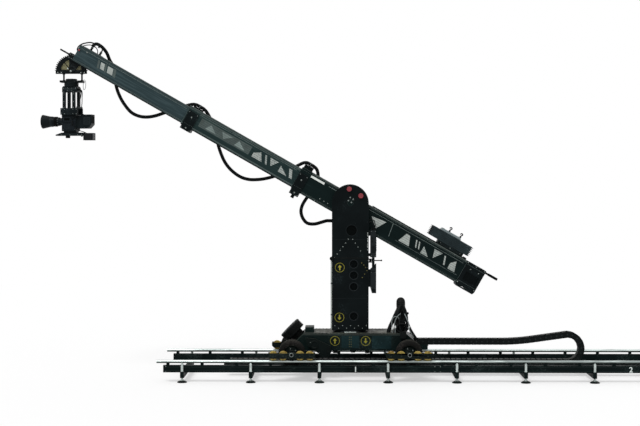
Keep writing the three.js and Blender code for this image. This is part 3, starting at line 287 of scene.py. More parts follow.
class Form:
    """Points and faces that grow into one mesh, written in a place of their own."""

    def __init__(self, finish, place=None):
        self.finish = finish
        self.place = place or Matrix.Identity(4)
        self.points = []
        self.faces = []
        self.finishes = []

    def add(self, points, faces, place=None):
        whole = self.place @ place if place else self.place
        first = len(self.points)
        self.points += [whole @ Vector(point) for point in points]
        self.faces += [[first + corner for corner in face] for face in faces]
        self.finishes += [self.finish] * len(faces)
        return self

    def block(self, corner, opposite, place=None):
        xs, ys, zs = (sorted(pair) for pair in zip(corner, opposite))
        sides = [(0, 2, 3, 1), (4, 5, 7, 6), (0, 1, 5, 4), (2, 6, 7, 3), (0, 4, 6, 2), (1, 3, 7, 5)]
        return self.add([(x, y, z) for z in zs for y in ys for x in xs], sides, place)

    def prism(self, outline, near, far, place=None):
        """An outline of points across and up, run along Y."""
        count = len(outline)
        points = [(across, y, up) for y in sorted((near, far)) for across, up in outline]
        sides = [(k, (k + 1) % count, count + (k + 1) % count, count + k) for k in range(count)]
        return self.add(points, [range(count), range(count, 2 * count), *sides], place)

    def turned(self, profile, place=None, sides=40):
        """A profile of radius and height turned about Z. It closes on the axis or on itself."""
        points = []
        rings = []
        for radius, height in profile:
            if radius == 0:
                rings.append([len(points)] * sides)
                points.append((0, 0, height))
            else:
                rings.append(range(len(points), len(points) + sides))
                points += [(x, y, height) for x, y in around(sides, radius)]
        if profile[0][0] > 0 and profile[-1][0] > 0:
            rings.append(rings[0])
        faces = []
        for low, high in zip(rings, rings[1:]):
            for k in range(sides):
                face = list(dict.fromkeys((low[k], low[k - 1], high[k - 1], high[k])))
                if len(face) > 2:
                    faces.append(face)
        return self.add(points, faces, place)

    def boss(self, point, direction, profile, sides):
        """A turned profile that stands on a point and grows in a direction."""
        return self.turned(profile, facing(point, direction), sides)

    def rod(self, start, end, radius, sides=24, edge=0.0):
        length = (Vector(end) - Vector(start)).length
        profile = [(0, 0), (radius - edge, 0), (radius, edge), (radius, length - edge),
                   (radius - edge, length), (0, length)]
        once_each = list(dict.fromkeys(profile))
        return self.boss(start, Vector(end) - Vector(start), once_each, sides)

    def ball(self, centre, radius, sides=20):
        half = sides // 2
        angles = [math.pi * k / half for k in range(1, half)]
        rings = [(radius * math.sin(angle), -radius * math.cos(angle)) for angle in angles]
        return self.turned([(0, -radius), *rings, (0, radius)], moved(*centre), sides)

    def tube(self, path, radius, sides=16):
        """A round tube along a path, with one radius or one for each of its points."""
        path = [Vector(point) for point in path]
        radii = radius if isinstance(radius, list) else [radius] * len(path)
        last = len(path) - 1
        side = None
        points = []
        for k, point in enumerate(path):
            heading = (path[min(k + 1, last)] - path[max(k - 1, 0)]).normalized()
            side = side or heading.orthogonal()
            side = (side - heading * side.dot(heading)).normalized()
            other = heading.cross(side)
            points += [point + side * x + other * y for x, y in around(sides, radii[k])]
        faces = [range(sides), range(last * sides, (last + 1) * sides)]
        for k in range(last):
            for step in range(sides):
                after = (step + 1) % sides
                faces.append((k * sides + step, k * sides + after,
                              (k + 1) * sides + after, (k + 1) * sides + step))
        return self.add(points, faces)

    def screw(self, point, direction, radius=0.006):
        """A cap screw with a round socket in its head."""
        head = 0.45 * radius
        profile = [(0, head / 3), (0.5 * radius, head / 3), (0.5 * radius, head), (0.85 * radius, head),
                   (radius, 0.7 * head), (radius, -head), (0, -head)]
        return self.boss(point, direction, profile, 12)

    def screws(self, xs, y, zs, radius, sides=BOTH):
        """Screws at every x with every z, on the near side at -y and on the far side at y."""
        for side in sides:
            for x in xs:
                for z in zs:
                    self.screw((x, side * y, z), (0, side, 0), radius)

    def mesh(self, name):
        data = bpy.data.meshes.new(name)
        data.from_pydata(self.points, [], self.faces)
        used = list(dict.fromkeys(self.finishes))
        for finish in used:
            data.materials.append(FINISHES[finish])
        data.polygons.foreach_set("material_index", [used.index(finish) for finish in self.finishes])
        work = bmesh.new()
        work.from_mesh(data)
        bmesh.ops.recalc_face_normals(work, faces=work.faces)
        work.to_mesh(data)
        work.free()
        data.shade_smooth()
        data.set_sharp_from_angle(angle=SMOOTH_ANGLE)
        return data

    def loose(self, name, bevel=0.0):
        """The finished object, which doesn't move with anything yet."""
        piece = in_scene(name, self.mesh(name))
        if bevel:
            soften(piece, bevel)
        print(name, len(self.points), "points")
        return piece

    def piece(self, name, body, bevel=0.0, replaces=()):
        """The finished object, riding on a body."""
        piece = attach(self.loose(name, bevel), body)
        if replaces:
            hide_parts(*replaces)
        return piece


# %% [markdown]
# ## Effects that finishes share
# Paint, rubber and aluminium differ in colour, but they age in the same few ways and take the
# same painted shade. Each of these is a node group with its own named inputs: Mottle makes a
# colour a little darker and lighter over the surface, Grain raises fine bumps, Scuffs marks
# where the finish has been rubbed through, Dust settles on what faces upwards, and UnderShade
# paints shade on what faces down.
# They read the object's own coordinates, so the pattern stays on the piece as the crane moves.
# On the boom the pattern is also turned to the boom's slope, so that its streaks run along it.

# %% Groups
LIE = {"Stretch": (1, 1, 1), "Turn": 0.0}


def effect(name, output, **values):
    """An empty node group, the outputs of its input node, and the socket that ends it."""
    tree = bpy.data.node_groups.new(name, "ShaderNodeTree")
    for socket, value in values.items():
        kind = "NodeSocketVector" if isinstance(value, tuple) else "NodeSocketFloat"
        tree.interface.new_socket(socket, in_out="INPUT", socket_type=kind).default_value = value
    tree.interface.new_socket(output, in_out="OUTPUT", socket_type="NodeSocketFloat")
    return tree, tree.nodes.new("NodeGroupInput").outputs, tree.nodes.new("NodeGroupOutput").inputs[0]


def stretched(tree, given):
    """Object coordinates, turned about the Y axis and then stretched by the group's own inputs."""
    where = node(tree, "TexCoord").outputs["Object"]
    level = node(tree, "VectorRotate", {"Vector": where, "Angle": given["Turn"]}, rotation_type="Y_AXIS")
    drawn_out = node(tree, "VectorMath", {0: level.outputs[0], 1: given["Stretch"]}, operation="MULTIPLY")
    return drawn_out.outputs[0]


def facing_up(tree):
    """How much a face looks up, from -1 to 1."""
    return node(tree, "SeparateXYZ", {0: node(tree, "TexCoord").outputs["Normal"]}).outputs["Z"]


# %% Mottle and Grain
mottle, given, end = effect("Mottle", "Shade", Scale=6.0, Amount=0.2, **LIE)
cloud = noise(mottle, stretched(mottle, given), given["Scale"], 6.0, 0.6)
spread = ramp(mottle, cloud, 0.35, 0.65, -1.0, 1.0)
mottle.links.new(sum_of(mottle, "MULTIPLY_ADD", spread, given["Amount"], 1.0), end)

grain, given, end = effect("Grain", "Height", Scale=600.0, Depth=0.0001, **LIE)
speckle = noise(grain, stretched(grain, given), given["Scale"], 2.0)
grain.links.new(sum_of(grain, "MULTIPLY", speckle, given["Depth"]), end)

# %% Scuffs
SCUFFS_START = 0.42
SCUFFS_EDGE = 0.06
FINER = 14.0
scuffs, given, end = effect("Scuffs", "Mask", Scale=7.0, Cover=0.2, **LIE)
rubbed = stretched(scuffs, given)
broad = noise(scuffs, rubbed, given["Scale"], 3.0)
fine = noise(scuffs, rubbed, sum_of(scuffs, "MULTIPLY", given["Scale"], FINER), 5.0)
both = sum_of(scuffs, "MULTIPLY", broad, fine)
least = sum_of(scuffs, "SUBTRACT", SCUFFS_START, given["Cover"])
most = sum_of(scuffs, "ADD", least, SCUFFS_EDGE)
scuffs.links.new(ramp(scuffs, both, least, most), end)

# %% Dust and painted under-shade
dust, given, end = effect("Dust", "Mask", Cover=0.2)
lying = ramp(dust, facing_up(dust), 0.25, 0.95)
patch = noise(dust, node(dust, "TexCoord").outputs["Object"], 18.0, 5.0)
settled = sum_of(dust, "MULTIPLY", lying, patch)
dust.links.new(sum_of(dust, "MULTIPLY", settled, given["Cover"]), end)

# UnderShade paints shade: the more a face looks down, the darker it gets.
under_shade, given, end = effect("UnderShade", "Mask", Start=0.3)
darkest = sum_of(under_shade, "SUBTRACT", given["Start"], 0.7)
under_shade.links.new(ramp(under_shade, facing_up(under_shade), given["Start"], darkest), end)
print("effects:", ", ".join(tree.name for tree in (mottle, grain, scuffs, dust, under_shade)))

# %% [markdown]
# ## Finishes
# A finish is a Principled shader fed by these effects. The crane is painted in several
# near-black greens and blues, which differ in how much blue and how much gloss they have, so
# each gets its own entry. Colours are written as red, green and blue hex pairs, the way a
# paint chart lists them, and turned into linear light here. Dark paint gets a low specular
# level, or the bright studio would wash it out to grey.

# %% The finish function
DUST_COLOUR = "8d8a80"
SCUFF_SCALE = 5.0


def linear(code):
    shares = [int(code[k:k + 2], 16) / 255 for k in (0, 2, 4)]
    return [*(s / 12.92 if s < 0.04045 else ((s + 0.055) / 1.055) ** 2.4 for s in shares), 1]


def placed(tree, group, **values):
    """A copy of an effect in a material, with its own values."""
    made = tree.nodes.new("ShaderNodeGroup")
    made.node_tree = group
    for key, value in values.items():
        made.inputs[key].default_value = value
    return made.outputs[0]


def mixed(tree, factor, first, second, blend="MIX"):
    inputs = {0: factor, 6: first, 7: second}
    return node(tree, "Mix", inputs, data_type="RGBA", blend_type=blend).outputs[2]


def finish(name, slot, colour, roughness, metal=0.0, specular=0.3, mottling=(6, 0.2), bumps=(500, 0.0001),
           stretch=(1, 1, 1), turn=0.0, scuff=None, cover=0.1, dusty=0.15, coat=0.0, shade_below=None):
    material = bpy.data.materials.new(name)
    material.use_nodes = True
    tree = material.node_tree
    lie = {"Stretch": stretch, "Turn": turn}
    shader = tree.nodes["Principled BSDF"]
    shader.inputs["Metallic"].default_value = metal
    shader.inputs["Specular IOR Level"].default_value = specular
    shader.inputs["Coat Weight"].default_value = coat
    shade = placed(tree, mottle, Scale=mottling[0], Amount=mottling[1], **lie)
    tone = mixed(tree, 1.0, linear(colour), shade, "MULTIPLY")
    if scuff:
        tone = mixed(tree, placed(tree, scuffs, Scale=SCUFF_SCALE, Cover=cover, **lie), tone, linear(scuff))
    if dusty:
        tone = mixed(tree, placed(tree, dust, Cover=dusty), tone, linear(DUST_COLOUR))
    # Faces that look down take the darker colour, as painted shade.
    if shade_below:
        tone = mixed(tree, placed(tree, under_shade), tone, linear(shade_below))
    tree.links.new(tone, shader.inputs["Base Color"])
    tree.links.new(sum_of(tree, "MULTIPLY", shade, roughness), shader.inputs["Roughness"])
    raised = placed(tree, grain, Scale=bumps[0], Depth=bumps[1], **lie)
    bump = node(tree, "Bump", {"Height": raised, "Distance": 1.0})
    tree.links.new(bump.outputs[0], shader.inputs["Normal"])
    FINISHES[name] = material


# %% Track finishes
ALONG = (0.05, 1, 1)
ARM_TURN = -math.radians(29.7)
# The rail's underside gets a darker colour, which is painted shade.
finish("rail_tube", "rail_alloy", "c9d3d0", 0.34, metal=1.0, mottling=(40, 0.12), bumps=(500, 0.00003),
       stretch=ALONG, scuff="8f9896", cover=0.16, dusty=0, shade_below="39423f")
finish("jack_steel", "rail_alloy", "b9c2bf", 0.38, metal=1.0, mottling=(30, 0.15), dusty=0)
finish("track_paint", "track_black", "0b1313", 0.5, specular=0.03, mottling=(3, 0.35), scuff="222b2a",
       cover=0.12, dusty=0.05)
finish("track_edge", "track_black", "1d2827", 0.45, specular=0.08, dusty=0)
finish("track_number", "track_black", "c3cbc8", 0.6, dusty=0)
finish("tray_metal", "tray_sheet", "141919", 0.5, metal=0.4, scuff="2c3333", cover=0.14, specular=0.1)
finish("chain_black", "chain_plastic", "0f1313", 0.55, specular=0.06, mottling=(12, 0.25), dusty=0.1)
finish("chain_pin", "chain_plastic", "232828", 0.4, metal=0.6, specular=0.1)

# %% Dolly finishes
finish("dolly_paint", "chassis_paint", "0c1716", 0.5, specular=0.04, mottling=(3, 0.4), scuff="1e2a28",
       cover=0.12, dusty=0.12)
finish("dolly_teal", "chassis_paint", "122426", 0.45, specular=0.05, mottling=(4, 0.3), scuff="24373a",
       cover=0.1, dusty=0.05)
# The deck top is paler than the chassis: scuffed wear, and a painted sheen of a top seen at a grazing angle.
finish("deck_wear_and_sheen", "chassis_paint", "262824", 0.6, mottling=(14, 0.4), scuff="484a42", cover=0.18,
       dusty=0.2, specular=0.1)
finish("bogie_black", "bogie_paint", "0c1312", 0.5, specular=0.04, scuff="222a28", cover=0.12, dusty=0.12)
finish("motor_black", "bogie_paint", "0f1212", 0.45, specular=0.04, mottling=(10, 0.2), dusty=0.08)
finish("wheel_yellow", "yellow_polymer", "a08c46", 0.5, specular=0.25, mottling=(25, 0.25),
       scuff="6f5526", cover=0.17, dusty=0.1)
finish("tyre_black", "tyre_rubber", "151514", 0.75, specular=0.05, mottling=(20, 0.3),
       bumps=(240, 0.0006), scuff="282624", cover=0.14, dusty=0.12)
finish("screw_zinc", "rail_alloy", "7c8380", 0.45, metal=1.0, dusty=0)
finish("screw_olive", "sector_paint", "5c5630", 0.5, metal=0.4, dusty=0)
finish("sign_yellow", "sector_paint", "8a8430", 0.55, dusty=0, specular=0.1)

# %% Post and boom finishes
finish("post_black", "post_paint", "0b1011", 0.42, specular=0.03, mottling=(2.5, 0.3), scuff="1b2224",
       cover=0.05, dusty=0.04)
finish("post_edge", "post_paint", "171c1e", 0.4, specular=0.08, dusty=0)
# Near black laid in hollows, slots and gaps, which is painted shade.
finish("dark_inside", "post_paint", "050707", 0.7, specular=0.02, dusty=0)
finish("knob_red", "post_paint", "7c262f", 0.35, specular=0.3, mottling=(20, 0.15), coat=0.3)
finish("base_paint", "boom_paint", "0a1515", 0.42, specular=0.04, mottling=(2.5, 0.3), stretch=ALONG,
       turn=ARM_TURN, scuff="1b2827", cover=0.1, dusty=0.15)
finish("mid_paint", "boom_paint", "1b2929", 0.42, specular=0.05, mottling=(2.5, 0.22), stretch=ALONG,
       turn=ARM_TURN, scuff="2c3a38", cover=0.1, dusty=0.15)
finish("front_paint", "nose_alloy", "253336", 0.4, specular=0.08, mottling=(2.5, 0.16), stretch=ALONG,
       turn=ARM_TURN, scuff="334245", cover=0.1, dusty=0.15)
# Pale edge finish of the boom: partly worn paint, partly a painted highlight along the edges.
finish("boom_edge", "boom_paint", "465250", 0.4, metal=0.3, specular=0.35, dusty=0)
finish("trim_line", "nose_alloy", "6f7b78", 0.4, metal=0.5, dusty=0)
finish("label_pale", "nose_alloy", "979d99", 0.55, mottling=(30, 0.12), scuff="7b8380", cover=0.14, dusty=0)
finish("label_bright", "nose_alloy", "c6cac6", 0.55, dusty=0)
# A pale grey line along the upper flanges, which is a painted highlight.
finish("flange_highlight", "boom_paint", "4a504d", 0.5, specular=0.1, mottling=(20, 0.3), stretch=ALONG,
       turn=ARM_TURN, dusty=0)
finish("label_dim", "nose_alloy", "3d4846", 0.55, mottling=(14, 0.25), scuff="39433f", cover=0.15, dusty=0)
finish("plate_grey", "weight_paint", "7d888a", 0.5, metal=0.3, mottling=(8, 0.15), dusty=0.2)
finish("weight_slate", "weight_paint", "1e2729", 0.55, specular=0.06, mottling=(9, 0.3), scuff="343e41",
       cover=0.12, dusty=0.15)
finish("lever_black", "lever_steel", "0e1011", 0.4, metal=0.0, specular=0.05)

# %% Head finishes
finish("head_paint", "head_black", "0e1416", 0.4, specular=0.05, mottling=(9, 0.25), scuff="1f2628",
       cover=0.1, dusty=0.06)
finish("head_edge", "head_black", "1f2628", 0.4, dusty=0, specular=0.08)
finish("camera_shell", "head_black", "11161a", 0.5, specular=0.06, mottling=(30, 0.2), bumps=(900, 0.0002),
       dusty=0.06)
finish("rubber_grip", "cable_black", "0b0d0d", 0.8, specular=0.05, mottling=(40, 0.2), bumps=(800, 0.0002),
       dusty=0.05)
finish("sector_black", "sector_paint", "0c1011", 0.45, specular=0.05, scuff="202526", cover=0.12, dusty=0.06)
finish("sector_olive", "sector_paint", "6d6b4c", 0.5, mottling=(14, 0.3), scuff="8d8a6c", cover=0.14,
       dusty=0)
finish("cable_jacket", "cable_black", "0b0e0f", 0.6, specular=0.06, mottling=(18, 0.25), dusty=0.08)
finish("lead_grey", "cable_black", "6d7574", 0.6, dusty=0)
finish("tag_white", "cable_black", "c8ccca", 0.6, dusty=0)
finish("lens_glass", "head_black", "0b0d16", 0.05, specular=0.8, mottling=(4, 0.1), bumps=(50, 0.0),
       coat=1.0, dusty=0)
finish("screen_glass", "head_black", "0b0e11", 0.35, specular=0.12, coat=0.05, bumps=(50, 0.0), dusty=0)
print(len(FINISHES), "finishes")

# %% [markdown]
# ## Finishes for the frame's own nodes
# A node whose shape is right keeps it. Its triangles are welded and flattened into whole
# faces, so that a bevel can run along its real edges, and the bevel's faces take a paler
# finish, partly the bare metal that shows at the corners of painted steel and partly a painted
# highlight along the edges.

# %% Dress the nodes
WELD_DISTANCE = 0.00001
FLAT_ANGLE = math.radians(1)
ENDS = ("front", "rear")
CORNERS = [(end, side) for end in ENDS for side in ("near", "far")]


def dress(names, body_finish, edge_finish, width=0.0015):
    for name in names:
        piece = nodes[name]
        piece.data.materials.clear()
        for chosen in (body_finish, edge_finish):
            piece.data.materials.append(FINISHES[chosen])
        weld = piece.modifiers.new("weld", "WELD")
        weld.merge_threshold = WELD_DISTANCE
        flat = piece.modifiers.new("flat_faces", "DECIMATE")
        flat.decimate_type = "DISSOLVE"
        flat.angle_limit = FLAT_ANGLE
        soften(piece, width, worn_and_highlight_slot=1)


dress([f"track_frame_{end}" for end in ENDS], "track_paint", "track_edge")
dress([f"bogie_{end}_{side}" for end, side in CORNERS], "bogie_black", "track_edge", 0.0012)
dress(["cable_tray"], "tray_metal", "track_edge", 0.0008)
dress(["chassis"], "dolly_paint", "track_edge", 0.002)
dress(["column_core", "cheek_near", "cheek_far", "control_box", "saddle_rear", "saddle_front"],
      "post_black", "post_edge", 0.002)
dress(["boom_base"], "base_paint", "boom_edge", 0.0025)
dress(["boom_mid"], "mid_paint", "boom_edge", 0.0025)
dress(["boom_front"], "front_paint", "boom_edge", 0.0025)
dress(["tail_housing"], "post_black", "boom_edge", 0.002)
dress(["weight_carriage"], "weight_slate", "boom_edge")
dress(["nose_bracket"], "sector_black", "head_edge", 0.001)
dress(["level_sector"], "sector_black", "head_edge", 0.0008)
dress(["leg_frame", "tilt_block", "camera_body", "base_plate"], "head_paint", "head_edge")

# %% [markdown]
# ## The umbilical
# One thick cable carries power and signals from the post to the camera head. It hangs along
# the far side in three drapes, one beside each tube, because it needs slack when the boom
# runs in. Each drape follows a smooth curve through points listed beside the boom.

# %% Smooth curves
def smooth_path(points, step):
    """A centripetal Catmull-Rom curve through the points, with a point at each step along it."""
    points = [Vector(point) for point in points]
    points = [2 * points[0] - points[1], *points, 2 * points[-1] - points[-2]]
    fine = []
    for p0, p1, p2, p3 in zip(points, points[1:], points[2:], points[3:]):
        d0, d1, d2 = ((b - a).length ** 0.5 for a, b in ((p0, p1), (p1, p2), (p2, p3)))
        leave = ((p1 - p0) / d0 - (p2 - p0) / (d0 + d1) + (p2 - p1) / d1) * d1
        arrive = ((p2 - p1) / d1 - (p3 - p1) / (d1 + d2) + (p3 - p2) / d2) * d1
        for t in (k / 16 for k in range(16)):
            fine.append((2 * t ** 3 - 3 * t ** 2 + 1) * p1 + (t ** 3 - 2 * t ** 2 + t) * leave
                        + (3 * t ** 2 - 2 * t ** 3) * p2 + (t ** 3 - t ** 2) * arrive)
    fine.append(points[-2])
    lengths = [0.0]
    for a, b in zip(fine, fine[1:]):
        lengths.append(lengths[-1] + (b - a).length)
    count = max(2, round(lengths[-1] / step))
    path = []
    k = 0
    for part in range(count + 1):
        wanted = lengths[-1] * part / count
        while k < len(fine) - 2 and lengths[k + 1] < wanted:
            k += 1
        share = (wanted - lengths[k]) / (lengths[k + 1] - lengths[k])
        path.append(fine[k].lerp(fine[k + 1], min(share, 1.0)))
    return path


def lead(form, points, radius, sides=10, step=0.006):
    """A thin cable or a bent wire on a smooth curve through its points."""
    form.tube(smooth_path(points, step), radius, sides)


# %% Umbilical
CABLE_RADIUS = 0.0195
JACKET_GROOVE = 0.0006
JACKET_STEP = 0.008
FRONT_ROUTE = [
    (3.386, .030, .0863), (3.386, .030, .112), (3.364, .034, .136), (3.301, .048, .136),
    (3.230, .082, .107), (3.160, .108, .050), (3.080, .107, .002), (3.012, .107, -.084),
    (2.958, .107, -.162), (2.873, .108, -.240), (2.771, .111, -.302), (2.655, .113, -.343),
    (2.564, .115, -.337), (2.489, .117, -.307), (2.413, .120, -.251), (2.347, .123, -.180),
    (2.290, .126, -.110), (2.215, .128, -.030), (2.138, .130, .048), (2.092, .130, .085),
    (2.050, .130, .0984), (2.014, .130, .0984),
]
MID_ROUTE = [
    (2.010, .130, .0984), (1.974, .130, .0984), (1.930, .130, .088), (1.858, .130, .048),
    (1.770, .130, -.016), (1.690, .131, -.092), (1.622, .132, -.175), (1.551, .134, -.241),
    (1.459, .136, -.308), (1.348, .139, -.352), (1.220, .142, -.365), (1.126, .144, -.343),
    (1.045, .146, -.299), (.970, .148, -.243), (.888, .149, -.163), (.820, .150, -.080),
    (.765, .150, 0), (.716, .150, .078), (.676, .150, .131), (.640, .150, .1500),
    (.602, .150, .1500),
]
REAR_ROUTE = [
    (.598, .150, .1500), (.560, .150, .1500), (.512, .150, .136), (.462, .150, .076),
    (.434, .150, -.020), (.436, .150, -.112), (.453, .150, -.208), (.453, .150, -.308),
    (.428, .149, -.374), (.374, .148, -.424), (.307, .1475, -.446), (.231, .1475, -.415),
    (.165, .1475, -.352), (.1265, .1475, -.3134), (.1047, .1475, -.3009), (.0748, .1475, -.2839),
]


def umbilical(name, route):
    """The cable's last point is on the start body and its first point on the end body."""
    path = smooth_path([BOOM @ Vector(point) for point in route], JACKET_STEP)
    radii = [CABLE_RADIUS - JACKET_GROOVE * (k % 2) for k in range(len(path))]
    piece = Form("cable_jacket").tube(path, radii).loose(f"{name}_jacket")
    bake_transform(piece)
    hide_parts(name)


umbilical("umbilical_front", FRONT_ROUTE)
umbilical("umbilical_mid", MID_ROUTE)
umbilical("umbilical_rear", REAR_ROUTE)

# %% [markdown]
# ## The drag chain
# The dolly's cables run in a chain of plastic links that lies in the tray, turns over in a
# loop and comes back to the dolly. A link is two side plates and two cross bars, and every
# second link's plates sit inside its neighbours', which is what lets it bend. The chain is
# laid link by link along its centre line: straight, round the bend, and down a gentle slope.
# When the dolly rolls, a real chain hands links from one run to the other, and its loop
# travels half as far as the dolly. Here the chain is made as three pieces, the lower run, the
# loop and the upper run, which stay where they are laid.

# %% Chain centre line
CHAIN_HEIGHT = 0.070
CHAIN_WIDTH = 0.100
CHAIN_PITCH = 0.060
CHAIN_FIXED_X = -1.330
CHAIN_LOW_Z = 0.1596
CHAIN_BEND_X = 2.440
CHAIN_BEND_RADIUS = 0.156
CHAIN_SLOPE = math.radians(8)
CHAIN_EASE_RADIUS = 2.5
CHAIN_DOLLY = (0.760, 0.393)


def chain_stretches():
    turn = math.pi + CHAIN_SLOPE
    top = CHAIN_LOW_Z + CHAIN_BEND_RADIUS * (1 + math.cos(CHAIN_SLOPE))
    drop = top - CHAIN_DOLLY[1] - CHAIN_EASE_RADIUS * (1 - math.cos(CHAIN_SLOPE))
    slant = drop / math.sin(CHAIN_SLOPE)
    level_start = (CHAIN_BEND_X - CHAIN_BEND_RADIUS * math.sin(CHAIN_SLOPE)
                   - slant * math.cos(CHAIN_SLOPE) - CHAIN_EASE_RADIUS * math.sin(CHAIN_SLOPE))
    return [(CHAIN_BEND_X - CHAIN_FIXED_X, 0), (CHAIN_BEND_RADIUS * turn, 1 / CHAIN_BEND_RADIUS),
            (slant, 0), (CHAIN_EASE_RADIUS * CHAIN_SLOPE, -1 / CHAIN_EASE_RADIUS),
            (level_start - CHAIN_DOLLY[0], 0)]


def chain_at(distance):
    """The centre line's place and heading at a distance from the fixed end."""
    x, z, heading, left = CHAIN_FIXED_X, CHAIN_LOW_Z, 0.0, distance
    for length, bend in chain_stretches():
        run = min(left, length)
        after = heading + run * bend
        if bend == 0:
            x += run * math.cos(heading)
            z += run * math.sin(heading)
        else:
            x += (math.sin(after) - math.sin(heading)) / bend
            z += (math.cos(heading) - math.cos(after)) / bend
        heading = after
        left -= run
        if left <= 0:
            break
    return x, z, heading


# %% Chain links
LINK_SHEET = 0.006
LINK_OVERLAP = 0.018
LINK_INSET = 0.002
LINK_CORNER = 0.007
CORNER_STEPS = 3
BAR_LENGTH = 0.046
BAR_SHEET = 0.005
BAR_INSET = 0.0001
PIN_RADIUS = 0.009
PIN_PROUD = 0.0006


def rounded(length, height, corner):
    """A rectangle's outline with round corners, about its own middle."""
    outline = []
    for k, (ahead, up) in enumerate(((1, -1), (1, 1), (-1, 1), (-1, -1))):
        for step in range(CORNER_STEPS + 1):
            angle = math.pi / 2 * (k - 1 + step / CORNER_STEPS)
            outline.append((ahead * (length / 2 - corner) + corner * math.cos(angle),
                            up * (height / 2 - corner) + corner * math.sin(angle)))
    return outline


def chain_run(name, first, last):
    """The links of the chain whose middles lie between two distances from the fixed end."""
    form = Form("chain_black", POST)
    outline = rounded(pitch + LINK_OVERLAP, CHAIN_HEIGHT - LINK_INSET, LINK_CORNER)
    half_width = CHAIN_WIDTH / 2
    for k in range(links):
        if not first <= (k + 0.5) * pitch < last:
            continue
        x, z, heading = chain_at((k + 0.5) * pitch)
        place = moved(x, 0, z) @ Matrix.Rotation(-heading, 4, "Y")
        outer = half_width - LINK_SHEET * (k % 2)
        form.finish = "chain_black"
        for side in BOTH:
            bar = side * CHAIN_HEIGHT / 2
            form.prism(outline, side * outer, side * (outer - LINK_SHEET), place)
            form.block((-BAR_LENGTH / 2, BAR_INSET - half_width, bar),
                       (BAR_LENGTH / 2, half_width - BAR_INSET, bar - side * BAR_SHEET), place)
        form.finish = "chain_pin"
        ends = [place @ Vector((pitch / 2, side * (half_width + PIN_PROUD), 0)) for side in BOTH]
        form.rod(*ends, PIN_RADIUS, 10)
    return form.loose(name)


def shared(run):
    """Bakes a run's place into its mesh and hides the frame's own chain."""
    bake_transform(run)
    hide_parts("drag_chain")


stretch_lengths = [length for length, _ in chain_stretches()]
chain_length = sum(stretch_lengths)
links = round(chain_length / CHAIN_PITCH)
pitch = chain_length / links
loop_start = stretch_lengths[0]
loop_end = sum(stretch_lengths[:2])
top_x = chain_at(loop_end)[0]
shared(chain_run("chain_lower_run", 0, loop_start))
shared(chain_run("chain_loop", loop_start, loop_end))
shared(chain_run("chain_upper_run", loop_end, chain_length))
print("chain", round(chain_length, 2), "m long,", links, "links")

# %% [markdown]
# ## The track
# The rails are aluminium tube, open at the end of the line, so each is turned as a wall with
# a bore. Every sleeper ends in a screw jack: a bright sleeve, a threaded stem with its nut,
# and a dished foot on the floor.

# %% Rails
RAIL_WALL = 0.004
RAIL_EDGE = 0.001
for end, side in CORNERS:
    name = f"rail_{side}_{end}"
    low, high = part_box(name)
    radius = (high.z - low.z) / 2
    middle = Vector((low.x, (low.y + high.y) / 2, high.z - radius))
    length = high.x - low.x
    bore = radius - RAIL_WALL
    profile = [(bore, 0), (radius - RAIL_EDGE, 0), (radius, RAIL_EDGE), (radius, length - RAIL_EDGE),
               (radius - RAIL_EDGE, length), (bore, length)]
    Form("rail_tube").boss(middle, AHEAD, profile, 40).piece(f"{name}_tube", "track", replaces=[name])

# %% Screw jacks
JACK_ASIDE = 0.546
SLEEPER_START = -1.84
SLEEPER_PITCH = 0.75
SLEEPER_BOTTOM = 0.051
SLEEPER_TOP = 0.1205
SLEEVE_TOP = 0.2055
FOOT_HEIGHT = 0.0305
THREAD_START = 0.04
THREAD_STEP = 0.0026
THREAD_TURNS = 4
FOOT = [(0, 0), (0.0528, 0), (0.053, 0.0085), (0.05, 0.0105), (0.03, 0.0225), (0, 0.0225)]
FOOT_TOP = [(0, 0.022), (0.0298, 0.022), (0.0165, FOOT_HEIGHT), (0, FOOT_HEIGHT)]
thread = [(0, THREAD_START)]
for k in range(THREAD_TURNS):
    height = THREAD_START + THREAD_STEP * k
    thread += [(0.0085, height), (0.0098, height + THREAD_STEP / 2)]
thread += [(0.0085, SLEEPER_BOTTOM), (0, SLEEPER_BOTTOM)]
NUT = (FOOT_HEIGHT, THREAD_START, 0.0145, 6, 0)
SLEEVE = (SLEEPER_TOP, SLEEVE_TOP, 0.0156, 32, 0.001)
COLLAR = (SLEEPER_TOP, SLEEPER_TOP + 0.008, 0.019, 32, 0.001)
HEAD = (SLEEVE_TOP, 0.2148, 0.0105, 6, 0.001)


def screw_jack(form, x, y):
    for chosen, profile, sides in (("track_paint", FOOT, 40), ("jack_steel", FOOT_TOP, 40),
                                   ("jack_steel", thread, 20)):
        form.finish = chosen
        form.turned(profile, moved(x, y, 0), sides)
    for bottom, top, radius, sides, edge in (NUT, SLEEVE, COLLAR, HEAD):
        form.rod((x, y, bottom), (x, y, top), radius, sides, edge)


for end, first in (("front", 0), ("rear", 4)):
    form = Form("jack_steel", POST)
    for k in range(first, first + 4):
        for side in BOTH:
            screw_jack(form, SLEEPER_START + SLEEPER_PITCH * k, side * JACK_ASIDE)
    form.piece(f"screw_jacks_{end}", "track")

# %% Beam trim
BEAM_FACE = 0.530
BEAM_LOW = 0.108
BEAM_HIGH = 0.185
BEAM_STARTS = (-2.05, 0.95)
BEAM_LENGTH = 3.0
GROOVE_INSET = 0.0195
GROOVE_HALF = 0.0015
NUMBER_PLACES = {"1": 0.055, "2": 3.055}
NUMBER_HEIGHT = 0.082
NUMBER_PLATE_HALF = 0.035

trim = Form("track_edge", POST)
